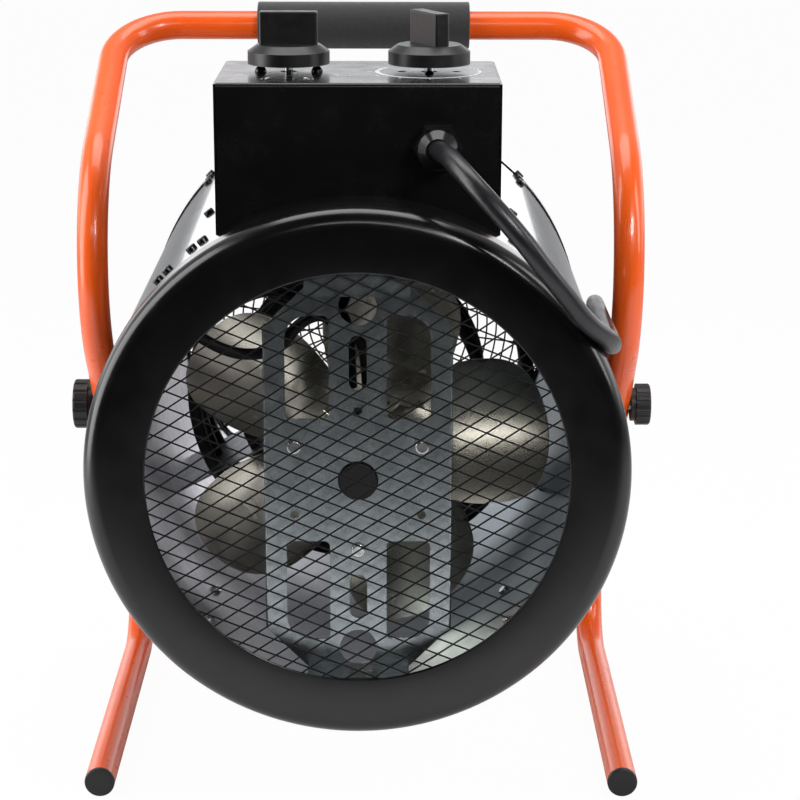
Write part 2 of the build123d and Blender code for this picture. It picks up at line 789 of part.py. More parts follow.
def make_motor_housing():
    rear = plate_back_y + motor_length
    body = round_bar(motor_radius, plate_back_y, rear, 0, motor_z)
    body = fillet(body.edges().sort_by(Axis.Y)[-1], motor_rounding)
    for angle in motor_screw_angles:
        x, z = on_circle(motor_screw_circle, angle, motor_z)
        lug = round_bar(motor_lug_radius, plate_back_y, plate_back_y + motor_lug_thickness, x, z)
        web = Pos(x / 2, (z + motor_z) / 2) * Rot(0, 0, -angle) * Rectangle(
            2 * motor_lug_radius, motor_screw_circle)
        body += lug + along_y(web, plate_back_y, plate_back_y + motor_lug_thickness)
    for angle in motor_screw_angles:
        x, z = on_circle(motor_screw_circle, angle, motor_z)
        body -= round_bar(motor_screw_radius, plate_back_y - 1, plate_back_y + 12, x, z)
    body += round_bar(plate_centre_hole - 1.0, plate_back_y - 4.0, plate_back_y + 1, 0, motor_z)
    body -= round_bar(shaft_radius + shaft_gap, plate_back_y, rear + 1, 0, motor_z)
    return body


def make_motor_screws():
    screws = []
    for angle in motor_screw_angles:
        x, z = on_circle(motor_screw_circle, angle, motor_z)
        head = round_bar(motor_screw_head, plate_front_y - 2.6, plate_front_y, x, z)
        head = fillet(head.edges().sort_by(Axis.Y)[0], 1.2)
        screws.append(head + round_bar(motor_screw_radius, plate_front_y - 1, plate_back_y + 9, x, z))
    return Compound(children=[s.solids()[0] for s in screws])


def make_motor_leads():
    points = [(x, plate_back_y + y, motor_z + z) for x, y, z in motor_lead_route]
    points.append((motor_lead_x, motor_lead_y, motor_lead_hole_z - motor_lead_bend))
    points.append((motor_lead_x + 0.5, motor_lead_y + 0.5, tray_z - motor_lead_end))
    path = FilletPolyline(*points, radius=bend_radii(points))
    return tube_along(path, motor_lead_radius) - round_bar(motor_radius + 0.02, plate_back_y,
                                                           plate_back_y + motor_length, 0, motor_z)


# ---- Fan ------------------------------------------------------------------------------------------------------
def blade(angle):
    """One rounded blade, rolled to a camber and turned about its own radius."""
    root = 30.0
    length = fan_tip_radius - root
    outline = Pos(0, root + length / 2) * Ellipse(fan_blade_half_width, length / 2)
    outline += Pos(0, root + 6) * Rectangle(34, 40)
    prism = Pos(0, 0, -30) * extrude(outline, amount=60)
    roll = Cylinder(fan_blade_camber, 200) - Cylinder(fan_blade_camber - fan_sheet, 202)
    roll = Pos(0, root + length / 2, -fan_blade_camber + fan_sheet / 2) * Rot(90, 0, 0) * roll
    leaf = prism & roll
    leaf = Rot(0, fan_blade_pitch, 0) * leaf
    # local X-Y is the fan's plane and local Z points to the intake
    return Plane.XZ.offset(-fan_y) * Pos(0, motor_z) * Rot(0, 0, -angle) * leaf


def make_fan_wheel():
    disc = round_bar(fan_disc_radius, fan_y - fan_sheet / 2, fan_y + fan_sheet / 2, 0, motor_z)
    wheel = disc
    for k in range(fan_blade_count):
        wheel += blade(fan_first_angle + 360 / fan_blade_count * k)
    wheel -= round_bar(shaft_radius, fan_y - 40, fan_y + 40, 0, motor_z)
    wheel -= round_bar(hub_radius + 3, fan_y - 40, fan_y - fan_sheet / 2, 0, motor_z)
    wheel -= round_bar(hub_radius + 3, fan_y + fan_sheet / 2, fan_y + 40, 0, motor_z)
    return wheel.solids().sort_by(SortBy.VOLUME)[-1]


def make_fan_hub():
    front = fan_y - fan_sheet / 2 - hub_length
    hub = pipe_y(hub_radius, shaft_radius, front, fan_y - fan_sheet / 2, 0, motor_z)
    return chamfer(hub.edges().sort_by(Axis.Y)[0:2], 0.8)


def make_fan_shaft():
    return round_bar(shaft_radius, plate_back_y + 2.0, fan_y + fan_sheet / 2 + nut_height + 3, 0, motor_z)


def make_fan_nut():
    seat = fan_y + fan_sheet / 2
    ring = Pos(0, motor_z) * (hexagon(nut_flats) - Circle(shaft_radius))
    return along_y(ring, seat, seat + nut_height)


# ---- Heating elements ----------------------------------------------------------------------------------------------
def make_heating_element(y):
    """Hairpin ring: down one leg, round outside, back round inside, up the other."""
    def spot(radius, angle):
        return Vector(radius * sin(radians(angle)), radius * cos(radians(angle)))

    def fillet_centre(ring, leg_x):
        x = leg_x + element_leg_fillet
        return Vector(x, sqrt((ring + element_leg_fillet) ** 2 - x ** 2))

    outer_c = fillet_centre(element_outer_ring, element_leg_x[0])
    inner_c = fillet_centre(element_inner_ring, element_leg_x[1])
    outer_touch = outer_c * (element_outer_ring / outer_c.length)
    inner_touch = inner_c * (element_inner_ring / inner_c.length)
    turn = -element_return_angle
    outer_low = spot(element_outer_ring, 180)
    outer_end = spot(element_outer_ring, turn)
    inner_start = spot(element_inner_ring, turn)
    inner_low = spot(element_inner_ring, 180)

    def middle_of(centre, radius, a, b):
        direction = ((a - centre) + (b - centre)).normalized()
        return centre + direction * radius

    leg_1 = Vector(element_leg_x[0], outer_c.Y)
    leg_2 = Vector(element_leg_x[1], inner_c.Y)
    top_1 = Vector(element_leg_x[0], element_leg_top)
    top_2 = Vector(element_leg_x[1], element_leg_top)
    touch_angle = degrees(atan2(outer_touch.X, outer_touch.Y))
    inner_angle = degrees(atan2(inner_touch.X, inner_touch.Y))
    mean = (element_outer_ring + element_inner_ring) / 2
    bend = (element_outer_ring - element_inner_ring) / 2
    bend_centre = spot(mean, turn)
    bend_top = bend_centre + Vector(cos(radians(turn)), -sin(radians(turn))) * bend
    parts = [
        Line(top_1, leg_1),
        ThreePointArc(leg_1, middle_of(outer_c, element_leg_fillet, leg_1, outer_touch), outer_touch),
        ThreePointArc(outer_touch, spot(element_outer_ring, (touch_angle + 180) / 2), outer_low),
        ThreePointArc(outer_low, spot(element_outer_ring, (180 + 360 + turn) / 2), outer_end),
        ThreePointArc(outer_end, bend_top, inner_start),
        ThreePointArc(inner_start, spot(element_inner_ring, (180 + 360 + turn) / 2), inner_low),
        ThreePointArc(inner_low, spot(element_inner_ring, (inner_angle + 180) / 2), inner_touch),
        ThreePointArc(inner_touch, middle_of(inner_c, element_leg_fillet, inner_touch, leg_2), leg_2),
        Line(leg_2, top_2),
    ]
    path = Plane.XZ.offset(-y) * Pos(0, axis_height) * Wire(parts)
    element = tube_along(path, element_radius)
    for x in element_leg_x:
        element += pin(terminal_radius, (x, y, axis_height + element_leg_top - 2),
                       (x, y, axis_height + terminal_top))
    return element


def make_element_ferrules():
    rings = []
    inside = round_bar(duct_radius, duct_front_y, duct_rear_y)
    for y in element_ys:
        for x in element_leg_x:
            top = axis_height + ferrule_top
            ring = pin(ferrule_radius, (x, y, top - ferrule_length), (x, y, top)) - inside
            ring -= pin(element_radius + 0.01, (x, y, top - ferrule_length - 1), (x, y, top + 1))
            rings.append(ring.solids()[0])
    return Compound(children=rings)


def make_element_supports():
    """Perforated strips that hold the rings off the duct wall."""
    low_y = element_ys[0] - support_margin
    high_y = element_ys[-1] + support_margin
    strips = []
    wall = round_bar(duct_bore, duct_front_y, duct_rear_y)
    for angle in support_angles:
        middle = (support_inner_radius + duct_bore + 1.0) / 2
        size = duct_bore + 1.0 - support_inner_radius
        x, z = on_circle(middle, angle)
        strip = along_y(Pos(x, z) * Rot(0, 0, -angle) * Rectangle(support_thickness, size), low_y, high_y)
        for y in element_ys:
            for ring in (element_outer_ring, element_inner_ring):
                a0 = degrees(8.0 / ring)
                x0, z0 = on_circle(ring, angle - a0)
                x1, z1 = on_circle(ring, angle + a0)
                strip -= pin(element_radius + 0.4, (x0, y, z0), (x1, y, z1))
        strips.append((strip & wall).solids()[0])
    return Compound(children=strips)


def make_star_busbar():
    z = axis_height + element_leg_top
    x = element_leg_x[1]
    half = busbar_width / 2
    bar = block((x - half, element_ys[0] - half, z), (x + half, element_ys[-1] + half, z + busbar_thickness))
    for y in element_ys:
        bar -= pin(terminal_radius + 0.02, (x, y, z - 1), (x, y, z + 4))
    return bar


def make_phase_leads():
    """One lead from the box to the outer end of each element."""
    tubes = []
    for k, y in enumerate(element_ys):
        run_x = lead_run_x + lead_spacing * k
        start_x = run_x - 4.0
        start_y = lead_slot_y + 3.6 * (k - 1)
        end_x = element_leg_x[0] + terminal_radius
        points = ((start_x, start_y, tray_z + 8), (start_x, start_y, lead_run_z + 0.5),
                  (run_x, start_y + 16, lead_run_z), (run_x, y, lead_run_z), (end_x, y, lead_run_z))
        radii = [min(r, 4.5) for r in bend_radii(points)]
        tubes.append(tube_along(FilletPolyline(*points, radius=radii), lead_radius).solids()[0])
    return Compound(children=tubes)


def make_thermal_cutout():
    body = pin(cutout_radius, (0, cutout_y, axis_height + duct_radius - 2),
               (0, cutout_y, axis_height + duct_radius + cutout_height))
    body -= round_bar(duct_radius, duct_front_y, duct_rear_y)
    for side in (-1, 1):
        body += block((side * 4 - 0.4, cutout_y - 3, axis_height + duct_radius + cutout_height - 1),
                      (side * 4 + 0.4, cutout_y + 3, axis_height + duct_radius + cutout_height + 7))
    return body


# ---- Control box ------------------------------------------------------------------------------------------------------
def box_foot():
    return round_bar(casing_radius, casing_front_y, casing_rear_y)


def make_box_cover():
    """Front, top and rear in one bent sheet."""
    half = box_width / 2 - box_wall - box_seam
    low = axis_height + sqrt(casing_radius ** 2 - half ** 2) - 2
    outer = block((-half, box_front_y, low), (half, box_rear_y, box_top_z))
    outer = fillet(outer.edges().filter_by(Axis.X).sort_by(Axis.Z)[-2:], box_bend)
    inner = block((-half - 1, box_front_y + box_wall, low - 1), (half + 1, box_rear_y - box_wall,
                                                                box_top_z - box_wall))
    inner = fillet(inner.edges().filter_by(Axis.X).sort_by(Axis.Z)[-2:], box_bend - box_wall)
    cover = outer - inner - box_foot()
    for x in (-knob_x, knob_x):
        cover -= pin(spindle_radius + 2.0, (x, knob_y, box_top_z - 5), (x, knob_y, box_top_z + 1))
    for x in (-knob_x - dome_screw_offset, -knob_x + dome_screw_offset):
        cover -= pin(1.8, (x, knob_y, box_top_z - 5), (x, knob_y, box_top_z + 1))
    for x in (knob_x - spare_hole_offset, knob_x + spare_hole_offset):
        cover -= pin(spare_hole_radius, (x, knob_y, box_top_z - 5), (x, knob_y, box_top_z + 1))
    for side in (-1, 1):
        y = knob_y + side * silver_screw_y
        cover -= pin(1.6, (knob_x, y, box_top_z - 5), (knob_x, y, box_top_z + 1))
    cover -= round_bar(gland_thread_radius + 0.1, box_front_y - 1, box_front_y + 5, gland_x, gland_z)
    return cover


def make_box_side_panels():
    panels = []
    for side in (-1, 1):
        xs = sorted((side * box_width / 2, side * (box_width / 2 - box_wall)))
        low = axis_height + sqrt(casing_radius ** 2 - (box_width / 2) ** 2) - 1
        panel = block((xs[0], box_front_y + 0.6, low), (xs[1], box_rear_y - 0.6, box_top_z - 0.6))
        inner = side * (box_width / 2 - box_wall)
        xs = sorted((inner, inner - side * 12.0))
        flange_z = box_top_z - 2 * box_wall
        panel += block((xs[0], box_front_y + box_wall + 3, flange_z - box_wall + 1.2),
                       (xs[1], box_rear_y - box_wall - 3, flange_z + 1.2))
        panels.append((panel - box_foot()).solids()[0])
    return Compound(children=panels)


def make_component_tray():
    half = box_width / 2 - box_wall
    front, rear = box_front_y + box_wall, box_rear_y - box_wall
    tray = block((-half, front, tray_z), (half, rear, tray_z + box_wall))
    tray -= Pos(lead_slot_x, lead_slot_y, tray_z) * Box(*lead_slot_size)
    tray -= Pos(motor_lead_x, motor_lead_y, tray_z) * Box(14, 14, 20)
    return tray - box_foot() - capillary_hole()


def seated_block(size, x, y, top=None, bottom=None):
    w, d, h = size
    low = bottom if bottom is not None else top - h
    return block((x - w / 2, y - d / 2, low), (x + w / 2, y + d / 2, low + h))


def make_rotary_switch():
    body = seated_block(switch_size, -knob_x, knob_y, top=box_top_z - box_wall)
    body = chamfer(body.edges().filter_by(Axis.Z), 4.0)
    reach = switch_size[1] / 2 + switch_tab_length
    z = box_top_z - switch_tab_drop
    for k in range(switch_tab_count):
        x = -knob_x + (k + 0.5 - switch_tab_count / 2) * switch_tab_pitch
        half = switch_tab_width / 2
        body += block((x - half, knob_y - reach, z), (x + half, knob_y + reach, z + switch_tab_thickness))
    for side in (-1, 1):
        x = -knob_x + side * dome_screw_offset
        body -= pin(panel_screw_shank, (x, knob_y, box_top_z - switch_screw_hole), (x, knob_y, box_top_z))
    return body - pin(spindle_radius + shaft_gap, (-knob_x, knob_y, box_top_z - 22), (-knob_x, knob_y, box_top_z))


def make_thermostat_body():
    body = seated_block(thermostat_size, knob_x, knob_y, top=box_top_z - box_wall)
    body = chamfer(body.edges().filter_by(Axis.Z), 3.0)
    for side in (-1, 1):
        y = knob_y + side * silver_screw_y
        body -= pin(panel_screw_shank, (knob_x, y, box_top_z - thermostat_screw_hole), (knob_x, y, box_top_z))
    return body - pin(spindle_radius + shaft_gap, (knob_x, knob_y, box_top_z - 22), (knob_x, knob_y, box_top_z))


def dome(radius, height, x, y, z, stem, depth):
    """Dome head screw standing on a level face."""
    ball = (radius ** 2 + height ** 2) / (2 * height)
    head = Pos(x, y, z + height - ball) * Sphere(ball)
    head &= block((x - radius - 1, y - radius - 1, z), (x + radius + 1, y + radius + 1, z + height + 1))
    return head + pin(stem, (x, y, z - depth), (x, y, z + height / 2))


def make_panel_screws():
    screws = []
    for side in (-1, 1):
        x = -knob_x + side * dome_screw_offset
        depth = switch_screw_hole - screw_end_gap
        screws.append(dome(dome_screw_radius, dome_screw_height, x, knob_y, box_top_z, panel_screw_shank, depth))
        y = knob_y + side * silver_screw_y
        depth = thermostat_screw_hole - screw_end_gap
        screws.append(dome(silver_screw_radius, silver_screw_height, knob_x, y, box_top_z, panel_screw_shank, depth))
    return Compound(children=[s.solids()[0] for s in screws])


def make_control_knob(x, turn):
    """Skirted knob with a bar grip."""
    low = box_top_z + knob_lift
    rim = pin(knob_radius, (x, knob_y, low), (x, knob_y, low + knob_rim))
    cone_plane = Plane((x, knob_y, low + knob_rim))
    cone = loft([cone_plane * Circle(knob_radius), cone_plane.offset(knob_cone) * Circle(knob_cone_top_radius)],
                ruled=True)
    wing = Pos(x, knob_y, low + knob_rim + knob_cone + knob_wing_height / 2 - 0.5) * Rot(0, 0, turn) * Box(
        knob_wing_length, knob_wing_thickness, knob_wing_height + 1)
    wing = fillet(wing.edges().filter_by(Axis.Z), 1.6)
    wing = fillet(wing.edges().sort_by(Axis.Z)[-8:], 1.0)
    knob = rim + cone + wing
    hollow = pin(knob_radius - knob_shell, (x, knob_y, low - 1), (x, knob_y, low + knob_rim - knob_shell + 1))
    stem = pin(spindle_radius + 4.0, (x, knob_y, low), (x, knob_y, low + knob_rim + 1))
    knob = knob - hollow + stem
    return knob - pin(spindle_radius, (x, knob_y, low - 1), (x, knob_y, box_top_z + spindle_length - 6))


def make_spindle(x):
    return pin(spindle_radius, (x, knob_y, box_top_z - 18), (x, knob_y, box_top_z + spindle_length - 6))


def make_contactor():
    body = seated_block(contactor_size, contactor_x, box_rear_y - box_wall - contactor_setback,
                        bottom=tray_z + box_wall)
    return chamfer(body.edges().filter_by(Axis.Z), 2.0)


def make_terminal_block():
    w, d, h = terminal_block_size
    x, y = box_width / 2 - terminal_block_inset, box_front_y + box_wall + terminal_block_setback
    body = seated_block(terminal_block_size, x, y, bottom=tray_z + box_wall)
    for k in range(terminal_count):
        cx = x - w / 2 + (k + 0.5) * w / terminal_count
        body -= pin(terminal_bore, (cx, y, tray_z + h / 2 + box_wall), (cx, y, tray_z + h + cut_reach))
    return body


def capillary_hole():
    low = axis_height + duct_radius - cut_reach
    return pin(capillary_hole_radius, (bulb_x, capillary_y, low), (bulb_x, capillary_y, tray_z + cut_reach))


def make_sensor_bulb():
    """Thermostat bulb clipped to the duct, with its capillary up to the thermostat."""
    z = axis_height + bulb_rise
    rear = bulb_front_y + bulb_length
    sensor = round_bar(bulb_radius, bulb_front_y, rear, bulb_x, z)
    under = box_top_z - box_wall - thermostat_size[2]
    end_x, end_y = capillary_end
    points = ((bulb_x, rear - 1.0, z), (bulb_x, rear - 1.0 + capillary_run, z),
              (bulb_x, capillary_y, z + capillary_bend), (bulb_x, capillary_y, tray_z + 12),
              (end_x, end_y, (tray_z + under) / 2 + 8), (end_x, end_y, under))
    radii = [min(r, capillary_bend) for r in bend_radii(points)]
    sensor += tube_along(FilletPolyline(*points, radius=radii), capillary_radius)
    width, depth, height = bulb_clip_size
    clip = Pos(bulb_x, bulb_clip_y, z + 4.0 - height / 2) * Box(width, depth, height)
    return sensor + (clip - round_bar(duct_radius, duct_front_y, duct_rear_y))


def make_lead_grommet():
    width, depth, _ = lead_slot_size
    middle = (grommet_low_z + tray_z) / 2
    height = tray_z - grommet_low_z
    seat = Pos(lead_slot_x, lead_slot_y, middle)
    return seat * Box(width, depth, height) - seat * Box(width - 3, depth - 3, height + 1)


def make_cable_gland():
    """Hexagon body and thread that clamp the gland in the box front."""
    front = box_front_y - gland_hex_length
    hexa = along_y(Pos(gland_x, gland_z) * hexagon(gland_flats + 1.5), front, box_front_y)
    thread = round_bar(gland_thread_radius, front, box_front_y + 9, gland_x, gland_z)
    locknut = along_y(Pos(gland_x, gland_z) * hexagon(gland_flats), box_front_y + box_wall,
                      box_front_y + box_wall + 4)
    return hexa + thread + locknut - round_bar(cord_radius, front - 1, box_front_y + 20, gland_x, gland_z)


def make_gland_nut():
    """Tapering compression nut round the cord."""
    front = box_front_y - gland_hex_length
    barrel = gland_nut_length * 0.6
    nut = along_y(Pos(gland_x, gland_z) * hexagon(gland_flats), front - barrel, front)
    nose_plane = Plane.XZ.offset(-(front - barrel)) * Pos(gland_x, gland_z)
    nose = loft([nose_plane * Circle(gland_flats / 2 - 0.4),
                 Plane.XZ.offset(-cord_exit_y) * Pos(gland_x, gland_z) * Circle(cord_radius + 1.6)])
    return nut + nose - round_bar(cord_radius, cord_exit_y - 1, front + 1, gland_x, gland_z)


# ---- Pivot and clamps ------------------------------------------------------------------------------------------------------
def make_pivot_bosses():
    space = pipe_y(casing_bore, duct_radius, casing_front_y, casing_rear_y)
    bosses = []
    for side in (-1, 1):
        boss = pin(boss_radius, (side * (duct_bore - cut_reach / 2), pivot_y, pivot_z),
                   (side * (casing_radius + cut_reach / 2), pivot_y, pivot_z)) & space
        boss -= pin(clamp_stud_radius + shaft_gap, (side * (clamp_stud_inner_x - 1), pivot_y, pivot_z),
                    (side * (casing_radius + cut_reach / 2), pivot_y, pivot_z))
        bosses.append(boss.solids()[0])
    return Compound(children=bosses)


def make_pivot_saddles():
    """Rubber pads between the casing and the stand tube."""
    saddles = []
    face = tube_x - tube_radius - running_gap
    for side in (-1, 1):
        pad = pin(saddle_radius, (side * (casing_radius - cut_reach), pivot_y, pivot_z),
                  (side * face, pivot_y, pivot_z))
        pad -= round_bar(casing_radius, casing_front_y, casing_rear_y)
        pad -= side_hole(clamp_stud_radius + shaft_gap, side, casing_radius)
        saddles.append(pad.solids()[0])
    return Compound(children=saddles)


def make_clamp_stud(side):
    return pin(clamp_stud_radius, (side * clamp_stud_inner_x, pivot_y, pivot_z),
               (side * (clamp_knob_outer_x - 4), pivot_y, pivot_z))


def make_clamp_knob(side, radius):
    """Fluted knob with a collar that bears on the stand tube."""
    inner = tube_x + tube_radius + running_gap
    collar_end = inner + clamp_collar_length
    collar = pin(clamp_collar_radius, (side * inner, pivot_y, pivot_z), (side * (collar_end + 1), pivot_y, pivot_z))
    barrel = pin(radius, (side * collar_end, pivot_y, pivot_z), (side * clamp_knob_outer_x, pivot_y, pivot_z))
    rim = barrel.edges().filter_by(GeomType.CIRCLE).sort_by(Axis.X)
    barrel = fillet(rim[-1] if side > 0 else rim[0], 1.6)
    for k in range(clamp_knob_flutes):
        angle = 2 * pi * k / clamp_knob_flutes
        y = pivot_y + (radius + 1.6 - clamp_flute_depth) * cos(angle)
        z = pivot_z + (radius + 1.6 - clamp_flute_depth) * sin(angle)
        barrel -= pin(1.6, (side * (collar_end - 1), y, z), (side * (clamp_knob_outer_x + 1), y, z))
    knob = barrel + collar
    return knob - pin(clamp_stud_radius, (side * (inner - 1), pivot_y, pivot_z),
                      (side * (clamp_knob_outer_x - 4), pivot_y, pivot_z))


# ---- Stand --------------------------------------------------------------------------------------------------------------------
def make_stand_frame():
    z = tube_radius
    side = [(runner_front_y, z), (floor_corner_y, z), front_corner, (bar_y, bar_z)]
    points = [(-tube_x, y, h) for y, h in side] + [(tube_x, y, h) for y, h in reversed(side)]
    bends = [floor_bend, front_bend, bar_bend]
    path = FilletPolyline(*points, radius=bends + bends[::-1])
    frame = tube_along(path, tube_radius, tube_radius - tube_wall)
    for side_sign in (-1, 1):
        frame -= side_hole(clamp_stud_radius + shaft_gap, side_sign, tube_x)
    return frame


def make_hand_grip():
    half = grip_length / 2
    outer = pin(grip_radius, (-half, bar_y, bar_z), (half, bar_y, bar_z))
    outer = fillet(outer.edges().filter_by(GeomType.CIRCLE), 1.2)
    return outer - pin(tube_radius, (-half - 1, bar_y, bar_z), (half + 1, bar_y, bar_z))


def make_end_caps():
    caps = []
    for side in (-1, 1):
        x = side * tube_x
        cap = round_bar(tube_radius, runner_front_y - cap_thickness, runner_front_y, x, tube_radius)
        cap = fillet(cap.edges().sort_by(Axis.Y)[0], 1.2)
        plug = round_bar(tube_radius - tube_wall, runner_front_y - 1, runner_front_y + cap_plug_length,
                         x, tube_radius)
        caps.append((cap + plug).solids()[0])
    return Compound(children=caps)


# ---- Cord -----------------------------------------------------------------------------------------------------------------------
def pivot_drum(radius):
    return pin(radius, (tube_x - 3 * cut_reach, pivot_y, pivot_z), (tube_x + cut_reach, pivot_y, pivot_z))


def make_cord_near_stretch():
    """Gland to the circle round the pivot; it tilts with the heater."""
    tube = cord_tube(cord_near_points, "near stretch")
    tube -= pivot_drum(cord_cut_radius + cord_cut_gap / 2)
    return tube.solids().sort_by(Axis.Y)[0]


def coil_spot(turns):
    """Radius and height of the coil's centre line after so many turns."""
    climb = 0.5
    inner = coil_outer_radius - coil_turn_pitch * coil_floor_turns
    if turns <= coil_floor_turns:
        return coil_outer_radius - coil_turn_pitch * turns, coil_base_z
    if turns <= coil_floor_turns + climb:
        part = (turns - coil_floor_turns) / climb
        dip = coil_turn_pitch / 4 * sin(pi * part)
        return inner - dip, coil_base_z + coil_turn_pitch * (1 - cos(pi * part)) / 2
    out = turns - coil_floor_turns - climb
    return inner + coil_turn_pitch * out, coil_base_z + coil_turn_pitch


def coil_point(turns):
    radius, z = coil_spot(turns)
    angle = -pi / 2 - 2 * pi * turns
    return Vector(coil_centre[0] + radius * cos(angle), coil_centre[1] + radius * sin(angle), z)


def coil_direction(turns):
    step = 1e-4
    low, high = max(turns - step, 0.0), min(turns + step, coil_turns)
    return (coil_point(high) - coil_point(low)).normalized()


def biarc(start, start_dir, end, end_dir):
    """Two arcs that leave start along start_dir and reach end along end_dir."""
    v = end - start
    t = start_dir + end_dir
    c = 2 * (1 - start_dir.dot(end_dir))
    d = (-v.dot(t) + sqrt(v.dot(t) ** 2 + c * v.dot(v))) / c
    joint = (start + start_dir * d + end - end_dir * d) * 0.5
    joint_dir = ((end - end_dir * d) - (start + start_dir * d)).normalized()
    return [TangentArc(start, joint, tangent=start_dir), TangentArc(joint, end, tangent=joint_dir)]


def make_cord_coil():
    arcs = []
    quarters = int(coil_turns * 4)
    for k in range(quarters):
        a, b = k / 4, (k + 1) / 4
        arcs += biarc(coil_point(a), coil_direction(a), coil_point(b), coil_direction(b))
    path = Wire(arcs)
    samples = [coil_point(k / 60) for k in range(int(coil_turns * 60) + 1)]
    gap = min((p - q).length for i, p in enumerate(samples) for q in samples[i + 20:]) - 2 * cord_radius
    coil = tube_along(path, cord_radius)
    share = coil.volume / (pi * cord_radius ** 2 * path.length)
    print("coil length", round(path.length, 1), "least gap", round(gap, 2), "volume share", round(share, 4))
    return coil


def make_cord_rear_stretch():
    """Circle round the pivot, down behind the side tube and along the floor to the coil."""
    start = coil_point(0)
    lead = start - coil_direction(0) * 26.0
    points = cord_rear_points + (tuple(lead), tuple(start))
    tube = cord_tube(points, "rear stretch")
    front = block((0, -2 * tube_x, 0), (2 * tube_x, cord_split_y, box_top_z))
    tube -= front - pivot_drum(cord_cut_radius - cord_cut_gap / 2)
    return tube.solids().sort_by(SortBy.VOLUME)[-1]


def tail_points():
    start = coil_point(coil_turns)
    leaving = start + coil_direction(coil_turns) * 22.0
    return (tuple(start), tuple(leaving)) + cord_tail_points


def make_cord_tail():
    return cord_tube(tail_points(), "tail")


def make_coil_tie():
    """Band round the coil's bundle on its far side."""
    radii = [coil_spot(t)[0] for t in (0.5, 1.5, 2.5)]
    low = min(radii) - cord_radius - tie_side_gap
    high = max(radii) + cord_radius + tie_side_gap
    bottom = coil_base_z - cord_radius - tie_level_gap
    top = coil_base_z + coil_turn_pitch + cord_radius + tie_level_gap
    inner = RectangleRounded(high - low, top - bottom, 4.0)
    outer = RectangleRounded(high - low + 2 * tie_thickness, top - bottom + 2 * tie_thickness, 4.0 + tie_thickness)
    x = coil_centre[0]
    plane = Plane((x - tie_width / 2, coil_centre[1] + (low + high) / 2, (bottom + top) / 2),
                  x_dir=(0, 1, 0), z_dir=(1, 0, 0))
    return extrude(plane * (outer - inner), amount=tie_width)


def plug_plane():
    before, end = [Vector(*p) for p in cord_tail_points[-2:]]
    return Plane(origin=end, z_dir=(end - before).normalized())


def make_plug_body():
    """Grip, sleeve and collar of the five-pin plug."""
    base = plug_plane()
    stations = ((0.0, plug_neck_radius), (16.0, plug_neck_radius), (22.0, 18.0),
                (34.0, plug_body_radius - 1.5), (plug_length - plug_collar_length, plug_body_radius))
    body = None
    for (a, ra), (b, rb) in zip(stations, stations[1:]):
        part = loft([base.offset(a) * Circle(ra), base.offset(b) * Circle(rb)], ruled=True)
        body = part if body is None else body + part
    start = plug_length - plug_collar_length
    body += extrude(base.offset(start) * Circle(plug_collar_radius), amount=plug_collar_length)
    body -= extrude(base.offset(start + 8) * Circle(plug_collar_radius - 2.5), amount=plug_collar_length)
    return body


def make_plug_pins():
    base = plug_plane().offset(plug_length - plug_collar_length + 8)
    pins = []
    for k in range(5):
        angle = 2 * pi * (k + 0.5) / 5
        spot = Pos(plug_pin_circle * cos(angle), plug_pin_circle * sin(angle))
        pins.append(extrude(base * spot * Circle(plug_pin_radius), amount=plug_collar_length - 12).solids()[0])
    return Compound(children=pins)


